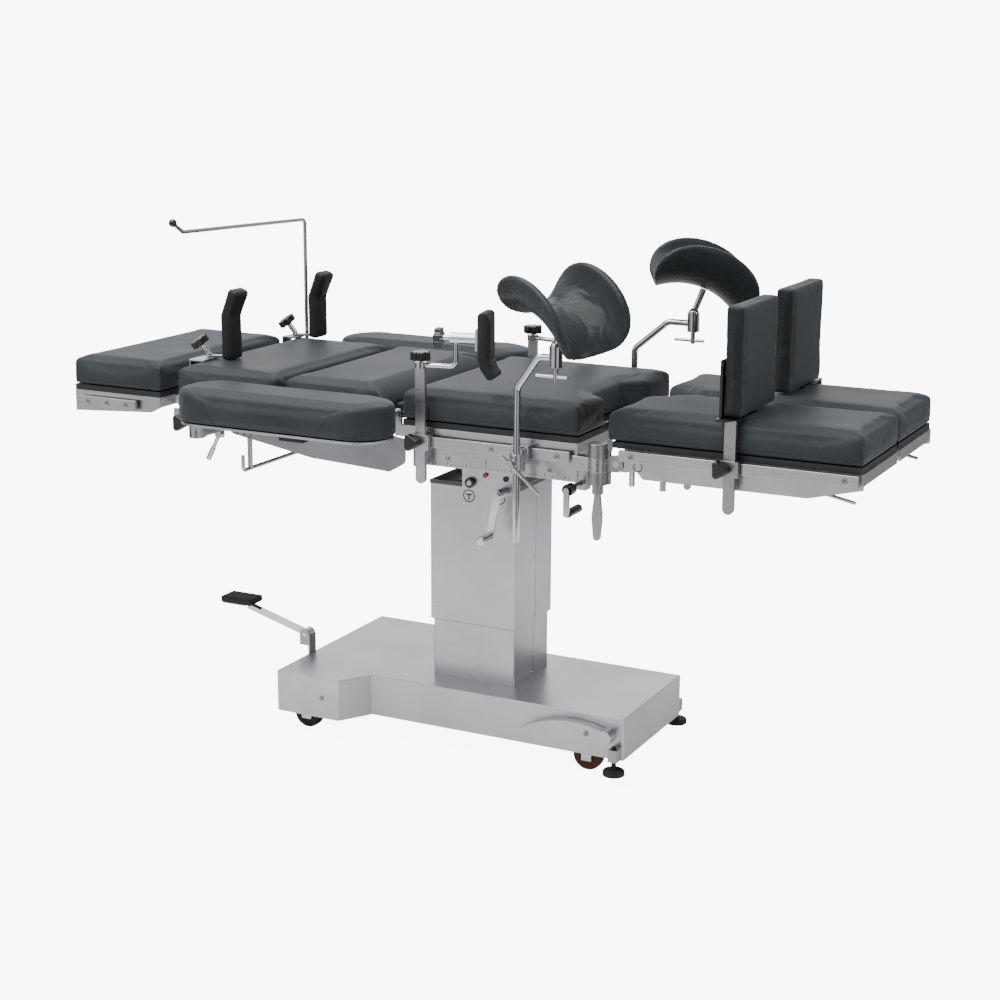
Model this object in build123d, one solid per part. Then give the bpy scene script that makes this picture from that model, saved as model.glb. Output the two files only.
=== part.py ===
from build123d import *
import os
from math import cos, radians, sin

# Hydraulic operating table. Lengths in millimetres, +Z up, +X towards the foot end.
# The origin is on the floor, below the centre line of the lifting column.

# Clearances shared by the whole table
seat_gap = 0.3        # two faces that rest on each other or pass close by
running_gap = 0.05    # radial, between a pin and its bore
overrun = 5.0         # how far a cutting tool passes the face that it opens
edge_break = 1.0      # small rounding of machined edges
full_turn_deg = 360.0

# Clamping knobs: star knobs with many lobes, shield knobs with three
knob_lobes = 7
knob_core_share = 0.8
knob_lobe_share = 0.24
knob_edge_share = 0.2
shield_lobes = 3
shield_lobe_share = 0.42
shield_edge_share = 0.25

# Levels of the table top
floor_clear = 55.0
frame_top_z = 824.0
board_thick = 14.0
cushion_thick = 72.0
cushion_half = 275.0
cushion_round = 9.0
cushion_draw = 3.0
cushion_crown = 2.5

# Sheet cover of the base
base_head_x = -470.0
base_foot_x = 440.0
base_waist_x = -290.0
base_neck_x = -241.0
base_head_half = 260.0
base_foot_half = 179.0
base_height = 104.0
base_sheet = 2.0
base_corner = 5.0
base_screw_radius = 4.0
base_screw_head = 1.5
base_screw_waist_gap = 48.0
base_screw_foot_gap = 96.0

# Chassis plate below the cover
chassis_lift = 37.0
chassis_thick = 12.0
chassis_rib = 10.0
chassis_rib_inset = 30.0
chassis_pad_half = 95.0
chassis_pad_half_y = 80.0
chassis_pad_thick = 20.0

# Casters
wheel_radius = 37.5
wheel_width = 25.0
wheel_round = 5.0
wheel_axle_radius = 4.0
hub_recess = 2.0
hub_radius = 20.0
fork_sheet = 3.0
fork_side_gap = 2.0
fork_half_wide = 13.0
fork_crown_gap = 4.0
stem_radius = 7.0
stem_depth = 9.0
swivel_x = -398.0
swivel_y = 194.0
swivel_trail = 18.0
fixed_wheel_x = 331.0
fixed_wheel_y = 130.0

# Telescopic column
sleeve_half_x = 117.0
sleeve_half_y = 102.0
sleeve_sheet = 2.0
sleeve_bottom_z = 305.0
sleeve_top_z = 657.0
sleeve_step = 6.0
sleeve_corner = 4.0
lower_sleeve_top_z = 480.0
guide_half_x = 72.0
guide_half_y = 62.0
guide_wall = 8.0
moving_bottom_z = 290.0
cylinder_radius = 32.0
cylinder_wall = 5.0
cylinder_top_z = 450.0
cylinder_base = 12.0
gland_height = 18.0
piston_height = 24.0
piston_rod_radius = 17.0
piston_bottom_z = 284.0

# Pump with its oil tank, beside the column foot
pump_x = -330.0
pump_y = 90.0
pump_long = 130.0
pump_half = 45.0
pump_high = 40.0
tank_long = 150.0
tank_half = 50.0
tank_y = -70.0
pipe_radius = 4.0
pipe_bend = 20.0
pipe_z_rise = 14.0
plunger_radius = 12.0
plunger_high = 10.0

# Pump pedal
pedal_pivot_x = -486.0
pedal_pivot_y = -90.0
pedal_pivot_z = 206.0
pedal_bracket_low_z = 116.0
pedal_bracket_width = 30.0
pedal_bracket_sheet = 5.0
pedal_ear = 14.0
pedal_pin_radius = 5.0
pedal_arm_wide = 18.0
pedal_arm_high = 13.0
pedal_arm_end_x = -664.0
pedal_arm_end_z = 256.0
pedal_pad_long = 92.0
pedal_pad_wide = 60.0
pedal_pad_thick = 17.0
pedal_pad_round = 4.0
pedal_pad_sole = 5.0

# Brake pedal and its two feet
brake_x = 402.0
brake_z = 114.0
brake_shaft_radius = 8.0
brake_drum_radius = 18.0
brake_drum_long = 30.0
brake_leaf_reach = 225.0
brake_leaf_mid_reach = 135.0
brake_leaf_rise = 22.0
brake_leaf_drop = 16.0
brake_leaf_wide = 26.0
brake_leaf_sheet = 5.0
brake_foot_x = 424.0
brake_foot_out = 18.0
brake_rod_radius = 6.0
brake_foot_radius = 26.0
brake_foot_rise = 25.0
brake_foot_high = 13.0
brake_rod_top_z = 93.0
brake_guide_half = 11.0
brake_guide_low_z = 58.0
brake_guide_high_z = 88.0

# Tilting head of the column
tilt_z = 700.0
tilt_pin_radius = 12.0
column_plate_thick = 20.0
column_plate_top_z = 652.0
ear_half_x = 28.0
ear_inner_y = 45.0
ear_thick = 15.0
ear_crown = 17.0
cross_half_x = 34.0
cross_high = 34.0
saddle_ear_inner_x = 35.0
saddle_ear_thick = 18.0
saddle_ear_half_y = 25.0
cap_sheet = 2.0
cap_drop = 8.0

# Control panel with its crank, selector and pointer
panel_left_x = -23.0
panel_right_x = 112.0
panel_low_z = 598.0
panel_high_z = 703.0
panel_arm_half = 14.0
panel_arm_thick = 6.0
panel_shelf_low_z = 663.0
panel_shelf_high = 13.0
panel_front_y = -112.0
panel_thick = 6.0
selector_x = 1.0
selector_z = 664.0
selector_radius = 12.5
selector_deep = 10.0
pointer_x = 41.0
pointer_z = 686.0
pointer_radius = 6.0
pointer_deep = 5.0
crank_x = 92.0
crank_z = 650.0
crank_hub_radius = 13.0
crank_shaft_radius = 8.0
crank_hub_long = 44.0
crank_arm_long = 104.0
crank_arm_wide = 17.0
crank_arm_thick = 9.0
crank_lean_deg = 9.0
grip_pin_radius = 4.0
grip_radius = 12.0
grip_long = 46.0

# Slide carriage and rails below the seat
carriage_half_x = 110.0
carriage_low_z = 742.0
carriage_plate = 10.0
carriage_half_y = 98.0
rail_line_y = 78.0
rail_flange_half = 12.0
rail_flange_high = 18.0
rail_web_half = 5.0
channel_wall = 6.0
slide_to_head = 160.0
slide_to_foot = 100.0
rail_spare = 10.0

# Seat section
seat_head_x = -98.0
seat_foot_x = 357.0
side_plate_inset = 5.0
side_plate_thick = 8.0
seat_plate_head_x = -56.0
seat_plate_foot_x = 352.0
seat_plate_low_z = 735.0
cross_bar_wide = 40.0
cross_bar_high = 24.0
notch_half_open = 125.0
notch_half_deep = 80.0
notch_depth = 48.0
board_inset = 4.0

# Accessory rails: 25 mm high stainless bar on spacers
rail_gap = 8.0
rail_thick = 8.0
rail_high = 25.0
rail_top_z = 806.0
seat_rail_head_x = -50.0
seat_rail_foot_x = 339.0
back_rail_head_x = -738.0
back_rail_foot_x = -205.0
head_rail_head_x = -1034.0
head_rail_foot_x = -856.0
head_rail_top_z = 812.0
leg_rail_head_x = 458.0
leg_rail_foot_x = 1000.0
leg_rail_top_z = 823.0
spacer_radius = 7.0
screw_radius = 6.5
screw_recess = 1.0
clamp_play = 2.2
rail_end = 30.0

# Back section
back_hinge_x = -112.0
back_hinge_z = 848.0
hinge_pin_radius = 6.0
hinge_lug_radius = 12.0
hinge_lug_thick = 6.0
hinge_pin_head = 3.0
hinge_pin_head_radius = 9.6
lug_corner_share = 0.7
loin_foot_x = -145.0
loin_head_x = -423.0
loin_round = 52.0
chest_foot_x = -442.0
chest_head_x = -735.0
back_board_foot_x = -150.0
back_member_half = 12.0
back_member_inset = 38.0
back_member_high = 25.0
cover_head_high_x = -602.0
cover_head_low_x = -574.0
cover_head_high_z = 775.0
cover_head_low_z = 755.0
cover_belly_x = -350.0
cover_belly_z = 718.0
cover_foot_low_x = -132.0
cover_foot_low_z = 707.0
cover_foot_x = -90.0
cover_top_z = 799.0
cover_slope_x = -145.0
cover_foot_top_z = 789.0
cover_sheet = 4.0
cover_round = 15.0
hook_x = -545.0
hook_inset = 3.0
hook_low_z = 666.0
hook_tip_z = 704.0
hook_hang_inset = 34.0
hook_radius = 5.0
hook_hanger_radius = 6.5
hook_bend = 9.0
lever_x = -609.0
lever_z = 752.0
lever_reach_x = 35.0
lever_reach_z = 66.0
lever_radius = 5.0
lever_grip_radius = 6.5
lever_grip_share = 0.55
lever_eye_radius = 10.0
lever_eye_thick = 14.0

# Head section
head_hinge_x = -762.0
head_hinge_z = 818.0
head_head_x = -1057.0
head_foot_x = -784.0
head_plate_head_x = -1055.0
head_plate_foot_x = -790.0
head_plate_low_z = 769.0
head_plate_cut_x = 30.0
head_plate_cut_z = 30.0
head_hinge_pin_radius = 6.0
head_hinge_lug_radius = 11.0
head_hinge_y = 200.0
head_hinge_lug_half = 12.0
lock_knob_radius = 22.0
lock_knob_thick = 16.0

# Kidney bridge
bridge_x = -120.0
bridge_half_x = 16.0
bridge_inset = 41.0
bridge_top_z = 868.0
bridge_pad_high = 22.0
bridge_pad_round = 6.3
bridge_beam_half_x = 10.0
bridge_beam_high = 14.0
bridge_rod_y = 150.0
bridge_rod_radius = 9.0
bridge_rod_low_z = 664.0
bridge_guide_wall = 5.0
bridge_guide_low_z = 700.0
bridge_guide_top_z = 815.0
bridge_crank_x = 312.0
bridge_crank_z = 705.0
bridge_crank_inset = 33.0
bridge_crank_arm = 55.0
bridge_crank_bar = 7.0
bridge_crank_wide = 14.0
bridge_shaft_radius = 7.0
bridge_grip_radius = 10.0
bridge_grip_long = 66.0
bridge_collar_radius = 14.0
bridge_collar_long = 22.0
bridge_bearing_y = -150.0
bridge_bearing_half = 14.0

# Leg sections
leg_head_x = 422.0
leg_foot_x = 1006.0
leg_split = 1.5
leg_board_inset = 15.0
leg_chamfer_x = 95.0
leg_chamfer_y = 82.0
leg_swing_x = 405.0
leg_swing_out = 5.0
barrel_radius = 22.0
barrel_pin_radius = 8.0
barrel_low_z = 739.0
barrel_top_z = 832.5
barrel_lug_low_z = 768.0
barrel_lug_half = 12.8
barrel_lug_top_z = 800.0
fold_x = 446.0
fold_z = 787.0
fold_pin_radius = 8.0
fold_tongue_radius = 18.0
fold_tongue_thick = 10.0
fold_tongue_inset = 2.2
leg_plate_low_z = 759.0
leg_cut_start_z = 775.0
leg_cut_mid_x = 496.0
leg_cut_mid_z = 774.5
leg_cut_end_x = 510.0
leg_plate_foot_z = 790.0
leg_inner_y = 12.0
leg_beam_thick = 6.0
paddle_low_z = 609.0
paddle_half = 13.0
paddle_thick = 6.0
paddle_neck = 7.0
neck_radius = 12.6
paddle_tip = 9.0
peg_x = 556.0
peg_inset = 11.0
peg_radius = 7.0
peg_low_z = 738.0
release_start_x = 848.0
release_end_x = 985.0
release_start_z = 782.0
release_end_z = 756.0
release_radius = 4.0
release_inset = 29.0

# Arm boards
arm_pivot_x = -575.0
arm_head_x = -608.0
arm_foot_x = -42.0
arm_board_gap = 56.0
arm_board_width = 167.0
arm_pad_low_z = 822.0
arm_pad_top_z = 903.0
arm_head_round = 80.0
arm_foot_round = 80.0
arm_pad_round = 16.0
arm_tray_thick = 6.0
arm_tray_inset = 7.0
arm_boss_radius = 20.0
arm_stub_radius = 8.0
arm_stub_long = 18.0
arm_boss_high = 22.0
arm_bar_half = 12.0
arm_bar_high = 20.0
arm_far_shift = -60.0
arm_strap_x = -262.0
arm_strap_half = 32.0
arm_strap_high = 8.0

# Rail clamps
clamp_half = 22.0
clamp_out = 14.0
clamp_lip = 5.0
clamp_above = 5.0
clamp_jaw = 5.0
clamp_jaw_drop = 4.0
knob_lobe_radius = 21.0
knob_lobe_thick = 19.0
knob_neck_radius = 7.0
knob_neck_long = 5.0

# Shoulder supports
shoulder_stud_x = -712.0
shoulder_near_y = 165.0
shoulder_far_y = 230.0
shoulder_near_bracket_y = 190.0
shoulder_bracket_half = 20.0
shoulder_bracket_sheet = 4.0
shoulder_shelf_reach = 14.0
shoulder_bracket_gap = 2.5
shoulder_bracket_low_z = 800.0
shoulder_lift = 7.0
shoulder_stud_radius = 6.0
shoulder_stud_short = 2.5    # how far the stud ends below the top of the bar on it
shoulder_arm_wide = 16.0
shoulder_arm_thick = 6.0
shoulder_pad_dx = 51.0
shoulder_pad_dy = 25.0
shoulder_far_dy = 32.0
shoulder_pad_wide = 62.0
shoulder_pad_deep = 32.0
shoulder_pad_gap = 2.0
shoulder_pad_high = 184.0
shoulder_pad_bend = 114.0
shoulder_pad_lean = 28.0
shoulder_pad_round = 10.0
shoulder_knob_radius = 24.0
shoulder_knob_thick = 17.0
shoulder_knob_stem = 24.0
shoulder_knob_lean_x = 14.0
shoulder_knob_lean_y = 10.0
shoulder_cap_high = 4.0
shoulder_cap_radius = 7.2

# Screen rod
screen_x = -718.0
screen_radius = 5.0
screen_low_z = 760.0
screen_top_z = 1222.0
screen_end_y = -250.0
screen_end_z = 1237.0
screen_tip_y = -290.0
screen_tip_z = 1262.0
screen_ball = 10.0
screen_bend = 12.0

# Lateral supports
support_x = -34.0
support_post_half = 12.5
support_post_thick = 10.0
support_post_low_z = 708.0
support_post_top_z = 966.0
support_eye_radius = 14.0
support_eye_thick = 14.0
support_knob_radius = 24.0
support_knob_thick = 20.0
support_side_knob_thick = 16.0
support_stud_radius = 4.5
support_arm_root = 8.4
support_curl_share = 0.3
support_knob_stem = 5.0
support_arm_radius = 6.0
support_arm_bend = 14.0
support_arm_reach = 84.0
support_arm_rise = 66.0
support_arm_turn_deg = 12.0
support_hub_radius = 13.0
support_hub_long = 52.0
support_plate_half = 24.0
support_plate_thick = 5.0
support_pad_wide = 70.0
support_pad_high = 158.0
support_pad_thick = 26.0
support_pad_curl = 26.0
support_pad_up = 66.0
support_pad_round = 9.0
support_knob_gap = 20.0
support_far_drop = 18.0

# Leg holders
holder_x = 222.0
holder_far_x = 240.0
holder_rod_radius = 8.0
holder_rod_low_z = 592.0
holder_knee_z = 926.0
holder_bend_z = 966.0
holder_top_x = 52.0
holder_top_z = 1020.0
holder_end_x = 94.0
holder_far_reach = 60.0
holder_far_rise_reach = 36.0
holder_bend = 22.0
holder_hub_radius = 15.0
holder_hub_low = 20.0
holder_hub_high = 26.0
holder_tee_drop = 44.0
holder_tee_half = 48.0
holder_tee_radius = 4.0
holder_tee_short = 28.8
holder_tee_stem_radius = 5.6
holder_ball_radius = 13.0
holder_socket_gap = 0.3
holder_stalk_radius = 8.0
holder_stalk_long = 64.0
saddle_out_deg = 28.0
saddle_dip_deg = 21.0
saddle_arch = 200.0
saddle_span_deg = 74.0
saddle_bend = 80.0
saddle_flap_deg = 90.0
saddle_wall = 20.0
saddle_thin_share = 0.55
saddle_end_share = 0.3
saddle_round_share = 2.4
saddle_step_shares = (-1, -0.95, -0.82, -0.55, 0, 0.55, 0.82, 0.95, 1)
saddle_near_shift = 2.0
saddle_far_shift = -8.0
saddle_near_lean_deg = 6.0
holder_axis_gap = 12.0
holder_block_half = 13.2
holder_clamp_radius = 16.8
holder_clamp_long = 40.0
holder_screw_radius = 8.4
holder_screw_long = 21.0
holder_lever_out = 12.6
holder_lever_head_x = 24.0
holder_lever_head_z = 19.2
holder_lever_tip_x = 69.1
holder_lever_tip_z = 59.5

# Foot boards
foot_plate_x = 691.0
foot_plate_thick = 44.0
foot_plate_inner_y = 47.0
foot_plate_low_z = 917.0
foot_plate_top_z = 1160.0
foot_plate_round = 5.0
foot_post_x = 719.0
foot_post_half = 13.0
foot_post_thick = 8.0
foot_post_low_z = 723.0
foot_post_reach = 120.0
foot_shelf_thick = 6.0
foot_behind_top_z = 1040.0

parts = {}


def node(name, *solids):
    """Keep one named sub-part: one solid, or a group of separate solids."""
    pieces = []
    for item in solids:
        pieces.extend(item.solids())
    parts[name] = pieces[0] if len(pieces) == 1 else Compound(children=pieces)


def block(x0, x1, y0, y1, z0, z1):
    """A rectangular solid between two opposite corners, in any order."""
    middle = Pos((x0 + x1) / 2, (y0 + y1) / 2, (z0 + z1) / 2)
    return middle * Box(abs(x1 - x0), abs(y1 - y0), abs(z1 - z0))


def rod(start, end, radius):
    """A round bar from one point to another."""
    run = Vector(*end) - Vector(*start)
    return Solid.make_cylinder(radius, run.length, Plane(origin=start, z_dir=run))


def bent_rod(points, radius, bend):
    """A round bar bent along straight runs joined by arcs."""
    path = FilletPolyline(*points, radius=bend)
    start = Plane(origin=path @ 0, z_dir=path % 0)
    return sweep(start * Circle(radius), path=path)


def plate_xz(points, y0, y1):
    """A flat plate with its outline in X and Z, between two Y values."""
    outline = make_face(Polyline(*[(x, 0, z) for x, z in points], close=True))
    return Pos(0, max(y0, y1), 0) * extrude(outline, abs(y1 - y0), dir=(0, -1, 0))


def plate_xy(points, z0, z1):
    """A flat plate with its outline in X and Y, between two Z values."""
    outline = make_face(Polyline(*[(x, y, z0) for x, y in points], close=True))
    return extrude(outline, z1 - z0, dir=(0, 0, 1))


def slab(x0, x1, y0, y1, z0, z1, radius):
    """A plate lying flat, with its four upright corners rounded."""
    sketch = RectangleRounded(abs(x1 - x0), abs(y1 - y0), radius)
    return Pos((x0 + x1) / 2, (y0 + y1) / 2, z0) * extrude(sketch, z1 - z0)


def star_knob(place, radius, thick):
    """A clamping knob with round lobes, its face along the place's Z axis."""
    disc = Circle(radius * knob_core_share)
    tip = radius * knob_lobe_share
    for turn in range(knob_lobes):
        disc += Rot(0, 0, full_turn_deg / knob_lobes * turn) * Pos(radius - tip, 0) * Circle(tip)
    body = extrude(disc, thick)
    return place * fillet(body.faces().sort_by(Axis.Z)[-1].edges(), thick * knob_edge_share)


def shield_knob(place, radius, thick):
    """A three-lobed clamping knob."""
    ring = radius * shield_lobe_share
    step_deg = full_turn_deg / shield_lobes
    centres = [
        Rot(0, 0, step_deg * turn) * Pos(radius - ring, 0) * Circle(ring) for turn in range(shield_lobes)
    ]
    body = extrude(make_hull(Sketch(children=centres).edges()), thick)
    return place * fillet(body.faces().sort_by(Axis.Z)[-1].edges(), thick * shield_edge_share)


def facing(origin, direction, across=None):
    """A place at origin whose Z axis looks along direction."""
    return Location(Plane(origin=origin, z_dir=direction, x_dir=across))


def cushion(outline, low_z, high_z):
    """A padded block: drawn-in sides, rounded edges and a crowned top."""
    height = high_z - low_z
    levels = [
        (0, cushion_draw), (cushion_round, 0), (height - cushion_round, 0),
        (height - cushion_crown, cushion_round),
    ]
    body = None
    for (low, low_in), (high, high_in) in zip(levels, levels[1:]):
        lower = outline if low_in == 0 else offset(outline, -low_in)
        upper = outline if high_in == 0 else offset(outline, -high_in)
        step = loft([Pos(0, 0, low_z + low) * lower, Pos(0, 0, low_z + high) * upper], ruled=True)
        body = step if body is None else body + step
    crest = offset(outline, -cushion_round)
    inner = offset(outline, -cushion_round - height / 2)
    crown = loft([Pos(0, 0, high_z - cushion_crown) * crest, Pos(0, 0, high_z) * inner], ruled=True)
    return body + crown


def rectangle(x0, x1, y0, y1):
    """A flat outline between two corners in X and Y."""
    return Pos((x0 + x1) / 2, (y0 + y1) / 2) * Rectangle(abs(x1 - x0), abs(y1 - y0))


def polygon(points):
    """A flat outline through points in X and Y."""
    return make_face(Polyline(*points, close=True))


def both(make):
    """The same piece on the near and on the far side."""
    return [make(-1), make(1)]


board_top_z = frame_top_z + board_thick
cushion_low_z = board_top_z + seat_gap
cushion_top_z = board_top_z + cushion_thick
side_plate_y = cushion_half - side_plate_inset
rail_in = side_plate_y + rail_gap
rail_out = rail_in + rail_thick
back_member_y = cushion_half - back_member_inset
hook_y = cushion_half - hook_inset
hook_hang_y = cushion_half - hook_hang_inset
bridge_half_y = cushion_half - bridge_inset
bridge_crank_y = bridge_crank_inset - cushion_half
leg_swing_y = side_plate_y + leg_swing_out
peg_y = cushion_half - peg_inset
release_y = cushion_half - release_inset
arm_inner_y = cushion_half + arm_board_gap
arm_outer_y = arm_inner_y + arm_board_width

# Base cover: folded stainless sheet, open below, T shaped in plan
base_top_z = floor_clear + base_height
chassis_low_z = floor_clear + chassis_lift
chassis_top_z = chassis_low_z + chassis_thick


def base_plan(inset):
    """Half-mirrored T outline of the base, drawn in by the inset."""
    near = [
        (base_head_x + inset, inset - base_head_half),
        (base_waist_x - inset / 2, inset - base_head_half),
        (base_neck_x - inset / 2, inset - base_foot_half),
        (base_foot_x - inset, inset - base_foot_half),
    ]
    far = [(x, -y) for x, y in reversed(near)]
    return near + far


base_shell = plate_xy(base_plan(0), floor_clear, base_top_z)
base_shell = fillet(base_shell.edges().filter_by(Axis.Z), base_corner)
base_shell = fillet(base_shell.faces().sort_by(Axis.Z)[-1].edges(), base_sheet)
hollow = plate_xy(base_plan(base_sheet), floor_clear - overrun, base_top_z - base_sheet)
lower_half_x = sleeve_half_x - sleeve_step
lower_half_y = sleeve_half_y - sleeve_step
column_hole = block(
    -lower_half_x - seat_gap, lower_half_x + seat_gap,
    -lower_half_y - seat_gap, lower_half_y + seat_gap,
    base_top_z - base_sheet - overrun, base_top_z + overrun,
)
shaft_hole_y = base_foot_half + overrun
shaft_hole = rod(
    (brake_x, -shaft_hole_y, brake_z), (brake_x, shaft_hole_y, brake_z),
    brake_shaft_radius + seat_gap,
)
base_shell = base_shell - hollow - column_hole - shaft_hole
cover_screws = []
for side in (-1, 1):
    for screw_x in (base_waist_x - base_screw_waist_gap, base_foot_x - base_screw_foot_gap):
        half = base_head_half if screw_x < base_waist_x else base_foot_half
        face = (screw_x, side * half, floor_clear + base_height / 2)
        tip = (screw_x, side * (half + base_screw_head), floor_clear + base_height / 2)
        cover_screws.append(rod(face, tip, base_screw_radius))
node("base_cover", base_shell, *cover_screws)

# Chassis: thick steel plate with ribs up to the cover and a foot for the column
chassis = plate_xy(base_plan(base_sheet + seat_gap), chassis_low_z, chassis_top_z)
rib_top_z = base_top_z - base_sheet - seat_gap
for side in (-1, 1):
    rib_y = side * (base_foot_half - chassis_rib_inset)
    chassis += block(
        base_neck_x + chassis_rib_inset, base_foot_x - chassis_rib_inset,
        rib_y - side * chassis_rib, rib_y, chassis_top_z - seat_gap, rib_top_z,
    )
chassis += block(
    -chassis_pad_half, chassis_pad_half, -chassis_pad_half_y, chassis_pad_half_y,
    chassis_top_z - seat_gap, chassis_low_z + chassis_pad_thick,
)
stem_top_z = chassis_low_z + stem_depth
for side in (-1, 1):
    chassis -= rod(
        (swivel_x, side * swivel_y, chassis_low_z - overrun),
        (swivel_x, side * swivel_y, stem_top_z + seat_gap), stem_radius + running_gap,
    )
for side in (-1, 1):
    chassis -= rod(
        (brake_x, side * (base_foot_half - chassis_rib_inset * 2), brake_z),
        (brake_x, side * shaft_hole_y, brake_z),
        brake_shaft_radius + seat_gap,
    )
node("base_chassis", chassis)

# Casters: two that swivel at the head end, two fixed ones at the foot end
fork_inner = wheel_width / 2 + fork_side_gap
fork_top_z = chassis_low_z - seat_gap


def wheel(x, y):
    """A wheel with a rounded tread and recessed hub faces, standing on the floor."""
    place = facing((x, y, wheel_radius), (0, 1, 0))
    tyre = Pos(0, 0, -wheel_width / 2) * extrude(Circle(wheel_radius), wheel_width)
    tyre = fillet(tyre.edges().filter_by(GeomType.CIRCLE), wheel_round)
    for side in (-1, 1):
        cut = Pos(0, 0, side * wheel_width / 2) * extrude(Circle(hub_radius), hub_recess, both=True)
        tyre -= cut
    bore = extrude(Circle(wheel_axle_radius + running_gap), wheel_width, both=True)
    return place * (tyre - bore)


def fork(x, y, stem_x, stem_high):
    """Two cheeks, a crown plate and the axle; with a swivel stem if asked."""
    crown_low = wheel_radius * 2 + fork_crown_gap
    body = block(
        stem_x - fork_half_wide, x + fork_half_wide, y - fork_inner - fork_sheet,
        y + fork_inner + fork_sheet, crown_low, fork_top_z,
    )
    if stem_x > x:
        body = block(
            x - fork_half_wide, stem_x + fork_half_wide, y - fork_inner - fork_sheet,
            y + fork_inner + fork_sheet, crown_low, fork_top_z,
        )
    for side in (-1, 1):
        cheek = plate_xz(
            [
                (x - fork_half_wide, wheel_radius - fork_half_wide),
                (x + fork_half_wide, wheel_radius - fork_half_wide),
                (max(x, stem_x) + fork_half_wide, fork_top_z), (x - fork_half_wide, fork_top_z),
            ],
            y + side * fork_inner, y + side * (fork_inner + fork_sheet),
        )
        body += cheek
    body += rod(
        (x, y - fork_inner - fork_sheet, wheel_radius),
        (x, y + fork_inner + fork_sheet, wheel_radius), wheel_axle_radius,
    )
    if stem_high:
        body += rod((stem_x, y, crown_low), (stem_x, y, stem_high), stem_radius)
    return body


swivel_wheel_x = swivel_x - swivel_trail
for name, side in (("near", -1), ("far", 1)):
    node(name + "_swivel_wheel", wheel(swivel_wheel_x, side * swivel_y))
    node(name + "_caster_fork", fork(swivel_wheel_x, side * swivel_y, swivel_x, stem_top_z))
node("fixed_wheels", *both(lambda side: wheel(fixed_wheel_x, side * fixed_wheel_y)))
node("fixed_caster_forks", *both(lambda side: fork(fixed_wheel_x, side * fixed_wheel_y, fixed_wheel_x, 0)))

# Column, outside in: two sheet sleeves, a guide tube, the moving tube, the ram
column_foot_z = chassis_low_z + chassis_pad_thick


def tube(half_x, half_y, wall, z0, z1, corner):
    """An upright rectangular tube."""
    outer = slab(-half_x, half_x, -half_y, half_y, z0, z1, corner)
    inner = block(wall - half_x, half_x - wall, wall - half_y, half_y - wall, z0 - overrun, z1 + overrun)
    return outer - inner


node(
    "lower_column_sleeve",
    tube(lower_half_x, lower_half_y, sleeve_sheet, chassis_top_z, lower_sleeve_top_z, sleeve_corner),
)
node(
    "upper_column_sleeve",
    tube(sleeve_half_x, sleeve_half_y, sleeve_sheet, sleeve_bottom_z, sleeve_top_z, sleeve_corner),
)
node(
    "guide_tube",
    tube(guide_half_x, guide_half_y, guide_wall, column_foot_z, lower_sleeve_top_z, sleeve_corner),
)
moving_half_x = guide_half_x - guide_wall - seat_gap
moving_half_y = guide_half_y - guide_wall - seat_gap
column_plate_low_z = column_plate_top_z - column_plate_thick
moving = tube(moving_half_x, moving_half_y, guide_wall, moving_bottom_z, column_plate_low_z, sleeve_corner)
node("moving_column", moving)
cylinder = rod((0, 0, column_foot_z), (0, 0, cylinder_top_z), cylinder_radius)
bore_low_z = column_foot_z + cylinder_base
cylinder_bore = cylinder_radius - cylinder_wall
cylinder -= rod((0, 0, bore_low_z), (0, 0, cylinder_top_z - gland_height), cylinder_bore)
cylinder -= rod((0, 0, bore_low_z), (0, 0, cylinder_top_z + overrun), piston_rod_radius + running_gap)
node("lift_cylinder", cylinder)
ram = rod((0, 0, piston_bottom_z), (0, 0, column_plate_low_z), piston_rod_radius)
ram += rod((0, 0, piston_bottom_z), (0, 0, piston_bottom_z + piston_height), cylinder_bore - running_gap)
node("piston_rod", ram)

# Column head: plate with two ears that hold the tilting pin, and a dark cap round it
head = block(
    -moving_half_x, moving_half_x, -moving_half_y, moving_half_y, column_plate_low_z,
    column_plate_top_z,
)
for side in (-1, 1):
    ear = block(
        -ear_half_x, ear_half_x, side * ear_inner_y, side * (ear_inner_y + ear_thick),
        column_plate_top_z - seat_gap, tilt_z,
    )
    ear_cap = rod((0, side * ear_inner_y, tilt_z), (0, side * (ear_inner_y + ear_thick), tilt_z), ear_crown)
    ear_bore = rod(
        (0, side * (ear_inner_y - overrun), tilt_z),
        (0, side * (ear_inner_y + ear_thick + overrun), tilt_z), tilt_pin_radius + running_gap,
    )
    head += ear + ear_cap
    head -= ear_bore
cap_half_x = sleeve_half_x - sleeve_sheet - seat_gap
cap_half_y = sleeve_half_y - sleeve_sheet - seat_gap
cap_top_z = sleeve_top_z - cap_drop
cap = slab(-cap_half_x, cap_half_x, -cap_half_y, cap_half_y, cap_top_z - cap_sheet, cap_top_z, sleeve_corner)
cap -= block(
    -moving_half_x - seat_gap, moving_half_x + seat_gap, -moving_half_y - seat_gap,
    moving_half_y + seat_gap, cap_top_z - cap_sheet - overrun, cap_top_z + overrun,
)
node("column_head", head, cap)

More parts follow.
